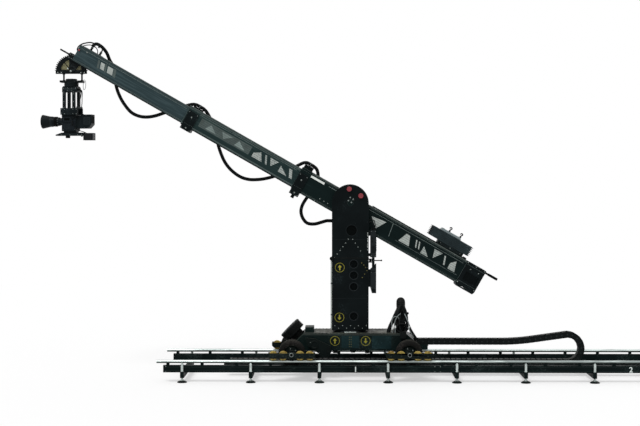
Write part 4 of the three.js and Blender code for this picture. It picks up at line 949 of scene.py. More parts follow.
# Paler lines where each beam face has its grooves; their lighter colour is a painted sheen.
for side in BOTH:
    for start in BEAM_STARTS:
        for z in (BEAM_LOW + GROOVE_INSET, BEAM_HIGH - GROOVE_INSET):
            trim.block((start + 0.01, side * (BEAM_FACE - 0.001), z - GROOVE_HALF),
                       (start + BEAM_LENGTH - 0.01, side * (BEAM_FACE + 0.0008), z + GROOVE_HALF))
trim.finish = "screw_zinc"
trim.screws([start + along for start in BEAM_STARTS for along in (0.03, BEAM_LENGTH - 0.03)], BEAM_FACE,
            (BEAM_LOW + 0.01, BEAM_HIGH - 0.01), 0.005)
trim.finish = "track_paint"
for x in NUMBER_PLACES.values():
    trim.block((x - NUMBER_PLATE_HALF, -BEAM_FACE - 0.001, BEAM_LOW + 0.002),
               (x + NUMBER_PLATE_HALF, -BEAM_FACE + 0.006, BEAM_HIGH - 0.002))
trim.piece("beam_trim", "track")

# %% Section numbers
for digit, x in NUMBER_PLACES.items():
    letter = bpy.data.curves.new("section_number", "FONT")
    letter.body = digit
    letter.size = NUMBER_HEIGHT
    letter.align_x = "CENTER"
    letter.extrude = 0.0006
    letter.offset = 0.0012
    drawn = in_scene("section_number", letter)
    bpy.context.view_layer.update()
    outline = bpy.data.meshes.new_from_object(drawn.evaluated_get(bpy.context.evaluated_depsgraph_get()))
    bpy.data.objects.remove(drawn)
    outline.transform(POST @ moved(x, -BEAM_FACE - 0.0012, BEAM_LOW + 0.009)
                      @ Matrix.Rotation(math.pi / 2, 4, "X"))
    outline.materials.clear()
    outline.materials.append(FINISHES["track_number"])
    number = in_scene(f"section_number_{digit}", outline)
    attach(number, "track")

# %% [markdown]
# ## Wheels
# Each bogie has four yellow polymer wheels that roll on the rail tube, so their rims are
# hollowed to its curve. The four road wheels beside them only touch the ground off the
# track. A wheel's profile is drawn once as radius and width, and turned about its axle.

# %% Track wheels
WHEEL_PROFILE = mirrored([(0.0085, -0.018), (0.03, -0.018), (0.032, -0.0155), (0.044, -0.0165),
                          (0.0495, -0.0155), (0.0505, -0.0135), (0.0492, -0.009), (0.0481, -0.004),
                          (0.0478, 0)])
BEARING_PROFILE = mirrored([(0.0078, -0.0185), (0.019, -0.0185), (0.02, -0.0175)])


def centre_of(name):
    low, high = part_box(name)
    return (low + high) / 2


for end, side in CORNERS:
    for k in (1, 2, 3, 4):
        name = f"bogie_wheel_{end}_{side}_{k}"
        form = Form("wheel_yellow", facing(centre_of(name), FAR)).turned(WHEEL_PROFILE, sides=48)
        form.finish = "screw_zinc"
        form.turned(BEARING_PROFILE, sides=24)
        form.piece(f"{name}_tyre", f"track_wheel_{end}_{side}_{k}", replaces=[name])

# %% Road wheels
TYRE_RADIUS = 0.150
TREAD_BLOCKS = 30
RIM_SCREWS = 5
TYRE_PROFILE = mirrored([(0.088, -0.036), (0.1, -0.0425), (0.125, -0.042), (0.14, -0.036), (0.1465, -0.026),
                         (0.1475, -0.014)])
RIM_PROFILE = mirrored([(0.0156, -0.03), (0.03, -0.03), (0.034, -0.02), (0.07, -0.018), (0.08, -0.026),
                        (0.088, -0.039), (0.09, -0.036)])


def tread(form):
    """Blocks of rubber round the tyre, in two rows that are half a block apart."""
    for row, side in ((0, -1), (0.5, 1)):
        for turn in turns(TREAD_BLOCKS, row):
            form.block((TYRE_RADIUS - 0.006, -0.0125, side * 0.002),
                       (TYRE_RADIUS - 0.0009, 0.0125, side * 0.0225), turn)


for end, side in CORNERS:
    name = f"road_wheel_{end}_{side}"
    form = Form("tyre_black", facing(centre_of(name), FAR)).turned(TYRE_PROFILE, sides=64)
    tread(form)
    form.finish = "bogie_black"
    form.turned(RIM_PROFILE, sides=48)
    form.finish = "screw_zinc"
    for x, y in around(RIM_SCREWS, 0.052):
        for face in BOTH:
            form.screw((x, y, face * 0.019), (0, 0, face), 0.007)
    form.piece(f"{name}_tyre", f"tyre_{end}_{side}", replaces=[name])

# %% Axle ends and bogie bolts
AXLE_X = 0.645
AXLE_HEIGHT = 0.305
AXLE_END = 0.572
BOGIE_FACE = 0.563
STUB_HEIGHT = 0.2907
STUB_PLACES = (-0.2, -0.0915, 0.0915, 0.2)
CAP_PROFILE = [(0.0165, 0.0), (0.0226, 0.0), (0.0226, 0.0085), (0.021, 0.0098), (0.0175, 0.0098),
               (0.0165, 0.0085)]
for end, lengthwise in (("front", -1), ("rear", 1)):
    form = Form("screw_zinc", POST)
    axle_x = lengthwise * AXLE_X
    for side in BOTH:
        centre = (axle_x, side * (AXLE_END - 0.008), AXLE_HEIGHT)
        form.finish = "screw_zinc"
        form.boss(centre, (0, side, 0), CAP_PROFILE, 40)
        # The axle end's near black centre is painted shade in its bore.
        form.finish = "dark_inside"
        form.rod(centre, (axle_x, side * (AXLE_END + 0.0004), AXLE_HEIGHT), 0.017, 24)
    form.finish = "track_edge"
    form.screws([axle_x + place for place in STUB_PLACES], BOGIE_FACE, (STUB_HEIGHT,), 0.0085)
    form.piece(f"axle_ends_{end}", "dolly")
print("wheels done")

# %% [markdown]
# ## The dolly's own pieces
# The travel motor sits square on the sloping front of the chassis: a ribbed drum on a neck,
# with a round cover held by screws. Behind the post, the umbilical comes out of the deck in a
# thick ribbed hose that stands as an arch. Both are turned or swept from their profiles, at
# the places that the frame's boxes give.

# %% Drive motor
MOTOR_RADIUS = 0.1335
MOTOR_LENGTH = 0.158
MOTOR_NECK = 0.060
MOTOR_EDGE = 0.008
MOTOR_RIBS = 6
MOTOR_RIB_PITCH = 0.011
MOTOR_RIB_DEPTH = 0.006
COVER_SCREWS = 8
slope = math.sqrt(0.5)


def motor_profile():
    profile = [(0, 0), (0.088, 0), (0.09, 0.003), (0.09, 0.012), (0.078, 0.02), (0.078, 0.05),
               (0.088, MOTOR_NECK), (MOTOR_RADIUS - 0.005, MOTOR_NECK), (MOTOR_RADIUS, MOTOR_NECK + 0.005)]
    groove = MOTOR_RADIUS - MOTOR_RIB_DEPTH
    for k in range(MOTOR_RIBS):
        start = MOTOR_NECK + 0.012 + MOTOR_RIB_PITCH * k
        profile += [(MOTOR_RADIUS, start), (groove, start + 0.002), (groove, start + 0.006),
                    (MOTOR_RADIUS, start + 0.008)]
    face = MOTOR_LENGTH
    return [*profile, (MOTOR_RADIUS, face - 0.011), (MOTOR_RADIUS - MOTOR_EDGE, face - 0.001),
            (0.112, face - 0.001), (0.110, face - 0.004), (0.062, face - 0.004), (0.06, face - 0.0005),
            (0.03, face - 0.0005), (0.028, face - 0.003), (0, face - 0.003)]


low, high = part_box("drive_motor")
reach = slope * (MOTOR_RADIUS + MOTOR_LENGTH - MOTOR_EDGE)
motor_foot = Vector((low.x + reach, 0, high.z - reach))
form = Form("motor_black", facing(motor_foot, (-slope, 0, slope))).turned(motor_profile(), sides=72)
form.finish = "screw_zinc"
for x, y in around(COVER_SCREWS, 0.118, 0.5):
    form.screw((x, y, MOTOR_LENGTH - 0.0015), UP, 0.0055)
form.finish = "track_edge"
form.turned([(0.1, 0.1543), (0.1015, 0.1555), (0.103, 0.1543), (0.1015, 0.1535)], sides=48)
form.piece("drive_motor_drum", "dolly", replaces=["drive_motor"])
print("motor foot at", [round(value, 3) for value in motor_foot])

# %% Umbilical tower
HOSE_RADIUS = 0.048
HOSE_GROOVE = 0.0045
HOSE_BEND = 0.070
HOSE_STEP = 0.0075
HOSE_FOOT = [(0, 0.0005), (0.059, 0.0005), (0.06, 0.002), (0.06, 0.018), (0.056, 0.024), (0.0485, 0.026),
             (0, 0.026)]


def tower_path(foot, springing, x):
    """Straight up from the foot to the springing, over in a half circle, and down again."""
    arch = math.pi * HOSE_BEND
    leg = springing - foot
    whole = 2 * leg + arch
    count = 2 * round(whole / (2 * HOSE_STEP))
    path = []
    for k in range(count + 1):
        distance = whole * k / count
        rise = min(distance, leg)
        fall = max(0.0, distance - leg - arch)
        angle = math.pi - min(max((distance - leg) / HOSE_BEND, 0.0), math.pi)
        path.append((x, HOSE_BEND * math.cos(angle), foot + rise - fall + HOSE_BEND * math.sin(angle)))
    return path


low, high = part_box("umbilical_tower")
path = tower_path(low.z, high.z - HOSE_RADIUS - HOSE_BEND, (low.x + high.x) / 2)
radii = [HOSE_RADIUS - HOSE_GROOVE * (k % 2) for k in range(len(path))]
form = Form("cable_jacket").tube(path, radii, sides=28)
form.finish = "motor_black"
for side in BOTH:
    form.turned(HOSE_FOOT, moved(path[0][0], side * HOSE_BEND, low.z), 40)
form.piece("tower_hose", "dolly", replaces=["umbilical_tower"])
print("hose arch in", len(path), "steps")

# %% Round signs
SIGN_RADIUS = 0.0525
SIGN_LINE = 0.0045
SIGN_SUNK = 0.0004
SIGN_PROUD = 0.0007
ARROW = [(-0.007, -0.03), (0.007, -0.03), (0.007, 0.002), (0.022, 0.002), (0, 0.03), (-0.022, 0.002),
         (-0.007, 0.002)]


def ring_sign(form, x, y, z, way):
    """A ring with an arrow in it, painted on a near face. The arrow points up or down."""
    form.finish = "sign_yellow"
    inner = SIGN_RADIUS - SIGN_LINE
    ring = [(inner, -SIGN_SUNK), (SIGN_RADIUS, -SIGN_SUNK), (SIGN_RADIUS, SIGN_PROUD), (inner, SIGN_PROUD)]
    form.boss((x, y, z), NEAR, ring, 48)
    form.prism([(across, way * up) for across, up in ARROW], -SIGN_PROUD, SIGN_SUNK, moved(x, y, z))


# %% Chassis trim
SKIRT_Y = -0.260
DECK_SUNK = 0.5045
DECK_TOP = 0.508
DECK_HALF = 0.2405
SKIRT_SUNK = 0.2595
PANEL_FACE = 0.2618
SEAM_FACE = 0.2608
# Deck plates in the paler deck finish, which is wear and painted sheen.
form = Form("deck_wear_and_sheen", POST)
form.block((-0.402, -DECK_HALF, DECK_SUNK), (-0.195, DECK_HALF, DECK_TOP))
form.block((0.195, -DECK_HALF, DECK_SUNK), (0.505, DECK_HALF, DECK_TOP))
for side in BOTH:
    form.block((-0.196, side * DECK_HALF, DECK_SUNK), (0.196, side * 0.196, DECK_TOP))
form.finish = "track_edge"
for k in range(22):
    for side in BOTH:
        form.screw((-0.385 + 0.04 * k, side * 0.232, DECK_TOP), UP, 0.0055)
form.finish = "dolly_teal"
for side in BOTH:
    form.block((0.240, side * SKIRT_SUNK, 0.335), (0.455, side * PANEL_FACE, 0.480))
    form.block((-0.098, side * SKIRT_SUNK, 0.345), (0.098, side * PANEL_FACE, 0.480))
form.finish = "track_edge"
for side in BOTH:
    for x in (-0.236, -0.108, 0.108, 0.462):
        form.block((x - 0.0012, side * SKIRT_SUNK, 0.325), (x + 0.0012, side * SEAM_FACE, 0.485))
    form.block((-0.24, side * SKIRT_SUNK, 0.4835), (0.56, side * SEAM_FACE, 0.4865))
form.finish = "screw_olive"
form.screws((-0.0105, 0.0095), PANEL_FACE, [0.360 + 0.0265 * k for k in range(5)], 0.0045)
form.finish = "motor_black"
form.block((0.553, -0.285, 0.455), (0.620, -0.2585, 0.520))
for low_x, high_x in ((-0.192, -0.140), (0.165, 0.215)):
    form.block((low_x, -0.225, 0.284), (high_x, -0.175, 0.3195))
form.prism([(-0.012, 0.3195), (0.008, 0.290), (0.052, 0.290), (0.072, 0.3195)], -0.225, -0.175)
lead(form, [(0.078, -0.2, 0.3185), (0.092, -0.2, 0.300), (0.112, -0.2, 0.300), (0.126, -0.2, 0.3185)],
     0.005, 8)
ring_sign(form, -0.171, SKIRT_Y, 0.425, 1)
ring_sign(form, 0.170, SKIRT_Y, 0.425, -1)
form.piece("chassis_trim", "dolly")

# %% Drive bracket and axle bolts
BRACKET_START = -0.500
BRACKET_LENGTH = 0.292
BRACKET_BOTTOM = 0.238
BRACKET_HEIGHT = 0.225
BRACKET_FACE = -0.3012
BRACKET_SHARES = ((0, 1), (0.08, 0.6), (0.5, 0.3), (0.58, 0), (0.92, 0.05), (1, 0.36), (0.96, 0.6),
                  (0.38, 0.95))
BRACKET_RIM = [(0.031, 0.0), (0.046, 0.0), (0.047, 0.001), (0.047, 0.006), (0.044, 0.008), (0.034, 0.008),
               (0.031, 0.006)]
form = Form("bogie_black", POST)
form.prism([(BRACKET_START + BRACKET_LENGTH * across, BRACKET_BOTTOM + BRACKET_HEIGHT * up)
            for across, up in BRACKET_SHARES], BRACKET_FACE, -0.2995)
form.boss((-0.400, -0.3005, 0.385), NEAR, BRACKET_RIM, 36)
for x, z in ((-0.30, 0.40), (-0.255, 0.30), (-0.235, 0.35)):
    form.screw((x, BRACKET_FACE, z), NEAR, 0.007)
form.finish = "screw_zinc"
for x, z in ((-0.440, 0.408), (-0.3625, 0.374)):
    form.screw((x, BRACKET_FACE, z), NEAR, 0.006)
form.piece("drive_bracket_trim", "dolly")

# %% Cable bundle
BUNDLE_CENTRE = Vector((0.572, -0.186, 0.560))
BUNDLE_SIZE = (0.055, 0.048)
BUNDLE_RADIUS = 0.0068
BUNDLE_TURNS = 4
BUNDLE_STEPS = 28
BUNDLE_SHIFT = 0.4
HOSE_PATHS = (
    (0.022, ((0.552, -0.086, 0.790), (0.520, -0.110, 0.730), (0.478, -0.134, 0.640), (0.440, -0.150, 0.560),
             (0.425, -0.156, 0.507))),
    (0.017, ((0.585, -0.100, 0.770), (0.612, -0.128, 0.700), (0.640, -0.160, 0.610), (0.668, -0.180, 0.545),
             (0.700, -0.190, 0.490), (0.735, -0.190, 0.440))),
    (0.012, ((0.566, -0.110, 0.740), (0.556, -0.150, 0.680), (0.548, -0.190, 0.600), (0.560, -0.200, 0.540),
             (0.580, -0.200, 0.507))),
    (0.016, ((0.560, -0.108, 0.800), (0.536, -0.140, 0.740), (0.512, -0.160, 0.660), (0.500, -0.168, 0.580),
             (0.498, -0.170, 0.507))),
    (0.014, ((0.590, -0.110, 0.810), (0.616, -0.140, 0.750), (0.632, -0.160, 0.670), (0.628, -0.172, 0.590),
             (0.606, -0.176, 0.507))),
)
LEAD_PATHS = (
    (0.0055, ((0.470, -0.190, 0.5065), (0.466, -0.192, 0.580), (0.462, -0.192, 0.640), (0.485, -0.190, 0.684),
              (0.525, -0.180, 0.684), (0.548, -0.160, 0.652))),
    (0.005, ((0.500, -0.200, 0.5065), (0.498, -0.202, 0.560), (0.492, -0.200, 0.610), (0.505, -0.190, 0.655),
             (0.536, -0.170, 0.700), (0.560, -0.140, 0.716))),
    (0.005, ((0.606, -0.150, 0.716), (0.632, -0.180, 0.660), (0.652, -0.200, 0.600), (0.655, -0.212, 0.545),
             (0.680, -0.214, 0.500), (0.706, -0.210, 0.452))),
)


def bundle_path():
    """Loops of slack cable, laid round an upright oval. Each loop leans a little its own way."""
    path = []
    for k in range(BUNDLE_STEPS * BUNDLE_TURNS + 1):
        turn = k / BUNDLE_STEPS
        angle = 2 * math.pi * turn
        half_length = BUNDLE_SIZE[0] + 0.006 * math.sin(1.7 * turn + BUNDLE_SHIFT)
        half_height = BUNDLE_SIZE[1] + 0.005 * math.cos(2.3 * turn + BUNDLE_SHIFT)
        path.append(BUNDLE_CENTRE + Vector((half_length * math.cos(angle) + 0.004 * turn,
                                            (turn - BUNDLE_TURNS / 2) * 2.1 * BUNDLE_RADIUS,
                                            half_height * math.sin(angle))))
    return path


form = Form("cable_jacket", POST)
for radius, points in HOSE_PATHS:
    lead(form, points, radius, 16, 0.008)
form.tube(bundle_path(), BUNDLE_RADIUS, sides=10)
form.finish = "lead_grey"
for radius, points in LEAD_PATHS:
    lead(form, points, radius, 10, 0.008)
form.finish = "tag_white"
for x, z, turn in ((0.468, 0.560, 0.1), (0.499, 0.575, -0.1), (0.654, 0.572, 0.2)):
    form.block((-0.009, -0.008, -0.014), (0.009, 0.004, 0.014),
               moved(x, -0.200, z) @ Matrix.Rotation(turn, 4, "Y"))
form.finish = "motor_black"
form.block((0.552, -0.150, 0.5062), (0.616, -0.112, 0.655))
form.block((0.560, -0.158, 0.6000), (0.608, -0.149, 0.6450))
for x, z in ((0.569, 0.575), (0.599, 0.575), (0.584, 0.545)):
    form.boss((x, -0.1495, z), NEAR, [(0, 0), (0.012, 0), (0.012, 0.014), (0.009, 0.02), (0, 0.02)], 20)
form.rod((0.637, -0.02, 0.5062), (0.637, -0.02, 0.70), 0.008, 16)
form.boss((0.637, -0.02, 0.695), UP,
          [(0, 0), (0.014, 0), (0.022, 0.006), (0.024, 0.016), (0.018, 0.026), (0, 0.028)], 24)
form.piece("cable_bundle", "dolly")

# %% [markdown]
# ## The post
# Two tall plates are bolted to a core box, and fork round the boom's trunnions at the top. What
# makes the post look real is what the plates carry: the locking knobs at the top, ports with a
# rim and a grille, two arrow signs, a strap with its clamp, and rows of small screws.

# %% Post trim
CHEEK_FACE = -0.165
PORT_X = 0.039
PORT_HEIGHTS = (0.6891, 1.0193, 1.1471, 1.2721)
PORT_RADIUS = 0.045
PORT_FLOOR = -0.020
GRILLE_PITCH = 0.0115
GRILLE_HALF = 0.0022
RECESS = (0.014, CHEEK_FACE, 1.648)
RECESS_RIM = [(0.0592, -0.0079), (0.0592, 0.0009), (0.0625, 0.0009), (0.064, -0.0004), (0.0612, -0.0004),
              (0.0612, -0.0079)]
RECESS_FLOOR = [(0, -0.0084), (0.0585, -0.0084), (0.0585, -0.0070), (0, -0.0070)]
KNOB_PLACES = ((-0.012, 2.109), (0.117, 2.034))
KNOB_PROFILE = [(0, -0.002), (0.0278, -0.002), (0.0284, 0.002), (0.0284, 0.0125), (0.0262, 0.0158),
                (0.0175, 0.0172), (0.0165, 0.0158), (0.0085, 0.0158), (0.008, 0.0178), (0, 0.0178)]


def port(form, x, y, z, way):
    """A rim round a port, a dark grille across its floor, and the floor in near black, which is painted
    shade.
    """
    place = facing((x, y, z), (0, way, 0))
    inner = PORT_RADIUS - 0.001
    outer = PORT_RADIUS + 0.007
    form.finish = "post_edge"
    form.turned([(inner - 0.0015, -0.012), (inner - 0.0015, 0.0012), (inner, 0.0024),
                 (outer - 0.0015, 0.0024), (outer, 0.001), (outer, -0.0005), (inner + 0.0015, -0.0005),
                 (inner + 0.0015, -0.012)], place, 48)
    # The port floor's near black is painted shade.
    form.finish = "dark_inside"
    form.turned([(0, PORT_FLOOR + 0.0004), (inner, PORT_FLOOR + 0.0004), (inner, PORT_FLOOR + 0.0035),
                 (0, PORT_FLOOR + 0.0035)], place, 32)
    form.finish = "post_black"
    for k in range(-3, 4):
        across = GRILLE_PITCH * k
        half = math.sqrt((inner - 0.002) ** 2 - across ** 2)
        form.block((x - half, y + way * (PORT_FLOOR + 0.003), z + across - GRILLE_HALF),
                   (x + half, y + way * (PORT_FLOOR + 0.008), z + across + GRILLE_HALF))


form = Form("post_edge", POST)
for z in PORT_HEIGHTS:
    for side in BOTH:
        port(form, PORT_X, -side * CHEEK_FACE, z, side)
form.finish = "knob_red"
for x, z in KNOB_PLACES:
    form.boss((x, CHEEK_FACE, z), NEAR, KNOB_PROFILE, 40)
form.finish = "post_edge"
form.boss(RECESS, NEAR, RECESS_RIM, 56)
# The recess floor's near black is painted shade.
form.finish = "dark_inside"
form.boss(RECESS, NEAR, RECESS_FLOOR, 56)
form.piece("post_ports", "column")

# %% Screws on the post
SCREW_ROW = 0.584
PLATE_SCREWS = ((-0.001, 2.016), (-0.021, 1.981), (0.032, 1.995), (0.012, 1.960))
ARCH_TOP = 1.549
ARCH_ROWS = ((6, -0.0205, -0.031, 0.0414), (4, 0.0275, 0.029, 0.0427))
OLIVE_SCREWS = ((0.127, 1.285), (0.150, 1.262), (0.172, 1.236), (0.185, 1.198), (0.160, 1.160),
                (0.135, 1.122))
form = Form("screw_zinc", POST)
for x, z in PLATE_SCREWS:
    form.screw((x, CHEEK_FACE, z), NEAR, 0.008)
for count, x, step, drop in ARCH_ROWS:
    for k in range(count):
        form.screw((x + step * k, CHEEK_FACE, ARCH_TOP - drop * k), NEAR, 0.006)
for k in range(9):
    form.screws((-0.173 + 0.044 * k,), -CHEEK_FACE, (SCREW_ROW - 0.028 * (k % 2),), 0.0052)
form.finish = "screw_olive"
for x, z in OLIVE_SCREWS:
    form.screw((x, CHEEK_FACE, z), NEAR, 0.006)
form.finish = "post_edge"
form.screws((-0.190, 0.190), -CHEEK_FACE, (0.70, 0.86, 1.02, 1.18, 1.42, 1.58, 1.74), 0.0052)
form.screw((0, -CHEEK_FACE, BOOM.translation.z), FAR, 0.030)
form.piece("post_screws", "column")

# %% Strap, signs and edges
STRAP_HEIGHT = 1.339
STRAP_HALF = 0.007
STRAP_FACE = CHEEK_FACE - 0.0028
strap_low = STRAP_HEIGHT - STRAP_HALF
strap_high = STRAP_HEIGHT + STRAP_HALF
form = Form("motor_black", POST)
form.block((-0.2072, STRAP_FACE, strap_low), (0.2072, CHEEK_FACE + 0.001, strap_high))
form.block((-0.2085, STRAP_FACE, strap_low), (-0.2045, 0.1655, strap_high))
knob_height = STRAP_HEIGHT - 0.005
form.rod((-0.208, CHEEK_FACE + 0.004, knob_height), (-0.208, CHEEK_FACE - 0.020, knob_height), 0.022, 28,
         edge=0.003)
form.block((-0.2085, CHEEK_FACE - 0.001, STRAP_HEIGHT - 0.018),
           (-0.190, CHEEK_FACE + 0.03, STRAP_HEIGHT + 0.010))
# A pale strip down the left edge of the near cheek, which is a painted reflection.
form.finish = "label_pale"
form.block((-0.2195, -0.160, 0.548), (-0.2055, -0.136, 1.322))
form.finish = "post_edge"
for z in (0.70, 1.05):
    form.block((-0.2203, -0.163, z), (-0.2045, -0.133, z + 0.012))
form.finish = "jack_steel"
form.block((-0.065, -0.1985, 0.5085), (0.065, -0.1905, 0.5185))
ring_sign(form, -0.117, CHEEK_FACE, 1.234, 1)
ring_sign(form, -0.121, CHEEK_FACE, 0.676, -1)
form.finish = "post_edge"
for side in BOTH:
    for z in (1.545, 0.8855):
        form.block((-0.2035, side * 0.165, z), (0.2035, side * 0.1662, z + 0.0025))
form.piece("post_strap", "column", bevel=0.0008)

# %% Control box trim
BOX_NEAR = -0.200
PANEL_NEAR = BOX_NEAR - 0.0022
SOCKET_PROFILE = [(0, 0), (0.0085, 0), (0.0085, 0.012), (0.006, 0.018), (0, 0.018)]
BUTTON_PROFILE = [(0, 0), (0.0085, 0), (0.008, 0.009), (0, 0.009)]
form = Form("post_edge", POST)
for low_z, high_z in ((1.356, 1.648), (1.20, 1.232), (1.0, 1.19)):
    form.block((0.2265, PANEL_NEAR, low_z), (0.2835, BOX_NEAR + 0.001, high_z))
form.finish = "screw_zinc"
form.screws((0.2325, 0.2775), -PANEL_NEAR, (1.364, 1.640, 1.008, 1.182), 0.0036, sides=(-1,))
form.finish = "label_pale"
for k in range(7):
    form.block((0.1900, -0.1672, 1.425 + 0.031 * k), (0.1985, -0.1645, 1.439 + 0.031 * k + 0.008 * (k % 2)))
# Near black slots in the box face, which are painted shade.
form.finish = "dark_inside"
for k in range(7):
    form.block((0.236, BOX_NEAR - 0.0028, 1.40 + 0.012 * k), (0.274, BOX_NEAR, 1.406 + 0.012 * k))
form.finish = "post_edge"
form.block((0.2885, -0.182, 1.415), (0.2905, -0.150, 1.560))
form.finish = "label_dim"
for k in range(5):
    form.block((0.2893, -0.178, 1.425 + 0.026 * k), (0.2925, -0.154, 1.437 + 0.026 * k))
form.finish = "motor_black"
for z in (1.53, 1.565):
    form.boss((0.243, BOX_NEAR - 0.002, z), NEAR, BUTTON_PROFILE, 16)
for x in (0.237, 0.255, 0.273):
    form.boss((x, -0.166, 1.654), UP, SOCKET_PROFILE, 14)
form.finish = "cable_jacket"
lead(form, [(0.255, -0.166, 1.668), (0.257, -0.164, 1.700), (0.246, -0.158, 1.735), (0.222, -0.152, 1.745),
            (0.200, -0.150, 1.728)], 0.0055)
lead(form, [(0.273, -0.166, 1.668), (0.277, -0.162, 1.715), (0.262, -0.156, 1.760), (0.226, -0.151, 1.772),
            (0.200, -0.150, 1.752)], 0.0045)
form.piece("control_box_trim", "column", bevel=0.0006)

# %% Brake lever
LEVER_HUB = (0.222, -0.150, 1.312)
LEVER_REACH = 0.123
LEVER_BALL = 0.0095
form = Form("lever_black", POST @ moved(*LEVER_HUB))
form.turned(mirrored([(0.0054, -0.01), (0.011, -0.01), (0.012, -0.009)]), sides=32)
tip = LEVER_REACH - 0.004
form.boss((0, 0, 0), AHEAD, [(0, 0.0105), (0.0060, 0.0105), (0.0060, 0.04), (0.0056, tip), (0, tip)], 20)
form.ball((LEVER_REACH + 0.002, 0, 0), LEVER_BALL, 28)
form.piece("brake_handle", "lever", replaces=["brake_lever"])

# %% [markdown]
# ## The boom's trim
# The three tubes share one design: a flange along each edge and a shallow web between them.
# Every web carries rows of rivets and a few screws. The near webs have pale painted patches,
# which are plain outlines given in shares of a panel's length and height. The flange lines of
# the outer tube stand a little proud. On the two tubes that slide they are nearly flush, so
# that they pass inside the next tube. The pale flange lines are painted highlights, and on the
# sliding tubes a dark strip along each lower flange is painted shade.

# %% Boom helpers
BASE_WEB = 0.115
MID_WEB = 0.096
FRONT_WEB = 0.077
BASE_REACH = 0.120
MID_REACH = 0.101
FRONT_REACH = 0.082
PAINT_DEPTH = 0.0008
PAINT_SUNK = 0.0006
LINE_SUNK = 0.0005
LINE_PROUD = 0.0007
FLUSH = 0.0002
SUNK = 0.0016
SLANT = 0.32
BASE_SPAN = (-1.455, 0.53)
MID_SPAN = (0.665, 2.088)
FRONT_SPAN = (2.095, 3.494)


def painted(form, face, outline):
    """A thin painted patch on a near or far web, as an outline of places along and up."""
    side = math.copysign(1, face)
    form.prism(outline, face - side * PAINT_SUNK, face + side * PAINT_DEPTH)


def slanted_bars(form, face, start, end, low, high, shares):
    """Slanted bars over a stretch of web. Each share pair gives a bar's start and its width."""
    lean = SLANT * (high - low)
    for start_share, width_share in shares:
        left = start + (end - start) * start_share
        right = left + (end - start) * width_share
        painted(form, face, [(left, low), (right, low), (right + lean, high), (left + lean, high)])


def patches(form, face, start, end, low, high, shapes):
    """Painted patches on a stretch of web. A shape is an outline in shares along it and up it."""
    for outline in shapes:
        places = [(start + (end - start) * along, low + (high - low) * up) for along, up in outline]
        painted(form, face, places)


def rivets(form, web, start, end, heights, pitch, radius=0.0032):
    """Rows of flat rivets on both webs, one row at each height."""
    profile = [(0, -0.001), (radius, -0.001), (0.9 * radius, 0.0009), (0.5 * radius, 0.0015), (0, 0.0015)]
    count = round((end - start) / pitch)
    for side in BOTH:
        for height in heights:
            for k in range(count + 1):
                form.boss((start + (end - start) * k / count, side * web, height), (0, side, 0), profile, 8)


def edge_line(form, face, start, end, height, half=0.0012, proud=LINE_PROUD):
    """A painted line along the boom, which stands a little proud of the face that it is on."""
    side = math.copysign(1, face)
    form.block((start, face - side * LINE_SUNK, height - half), (end, face + side * proud, height + half))


def edge_lines(form, reach, *place, **looks):
    for side in BOTH:
        edge_line(form, side * reach, *place, **looks)


# %% Base tube trim
BASE_PATCH_SHARES = (((0.01, 0.0), (0.13, 0.0), (0.13, 0.55), (0.06, 0.95)),
                     ((0.19, 0.1), (0.215, 0.1), (0.26, 0.9), (0.235, 0.9)),
                     ((0.30, 0.95), (0.44, 0.95), (0.40, 0.15)), ((0.47, 0.0), (0.60, 0.0), (0.60, 0.7)),
                     ((0.64, 0.2), (0.66, 0.2), (0.70, 0.85), (0.68, 0.85)),
                     ((0.69, 0.2), (0.71, 0.2), (0.75, 0.85), (0.73, 0.85)),
                     ((0.80, 0.0), (0.98, 0.0), (0.92, 0.9), (0.86, 0.9)))
BASE_SAIL_SHARES = (((0.0, 0.95), (1.0, 0.75), (0.40, 0.0)),)
HINGE_RIM = [(0.036, 0), (0.052, 0), (0.054, 0.001), (0.054, 0.004), (0.05, 0.006), (0.036, 0.006)]
form = Form("post_edge", BOOM)
rivets(form, BASE_WEB, -1.42, 0.52, (0.054, -0.150), 0.060)
# The upper flange's pale line is a painted highlight.
form.finish = "flange_highlight"
edge_lines(form, BASE_REACH, *BASE_SPAN, 0.0795, half=0.0040)
# Thin pale lines along the flange edges, which are painted highlights.
form.finish = "boom_edge"
edge_lines(form, BASE_REACH, *BASE_SPAN, 0.0680)
edge_lines(form, BASE_REACH, *BASE_SPAN, -0.1735)
form.finish = "label_pale"
patches(form, -BASE_WEB, -1.40, -0.66, -0.098, 0.026, BASE_PATCH_SHARES)
patches(form, -BASE_WEB, -0.46, -0.28, -0.105, 0.020, BASE_SAIL_SHARES)
form.finish = "base_paint"
for k in range(5):
    edge_line(form, -BASE_WEB - PAINT_DEPTH, -1.43, -0.25, -0.086 + 0.024 * k, 0.0010)
form.finish = "trim_line"
edge_line(form, -BASE_WEB, -1.43, 0.30, 0.040)
edge_line(form, -BASE_WEB, -1.43, -0.64, -0.113, 0.0009)
painted(form, -BASE_WEB, [(-0.560, -0.113), (-0.555, -0.113), (-0.530, 0.035), (-0.535, 0.035)])
form.finish = "label_bright"
painted(form, -BASE_WEB, [(0.356, 0.029), (0.527, 0.029), (0.527, 0.053), (0.356, 0.053)])
form.finish = "trim_line"
for k in range(14):
    left = 0.193 + 0.005 * k
    painted(form, -BASE_WEB, [(left, 0.034), (left + 0.0013, 0.034), (left + 0.0013, 0.045), (left, 0.045)])
form.finish = "screw_zinc"
for place in (0.215, 0.264, 0.317):
    form.screw((place, -BASE_WEB, -0.130), NEAR, 0.006)
form.screws((-1.445, -1.30, -0.95, -0.60, -0.28, 0.36, 0.47), BASE_REACH, (0.075, -0.178), 0.0042)
for side in BOTH:
    for k in range(16):
        form.screw((-1.42 + 0.077 * k, side * 0.085, 0.0955), UP, 0.0040)
form.finish = "boom_edge"
for side in BOTH:
    form.boss((0, side * BASE_WEB, 0), (0, side, 0), HINGE_RIM, 40)
form.piece("base_tube_trim", "boom")

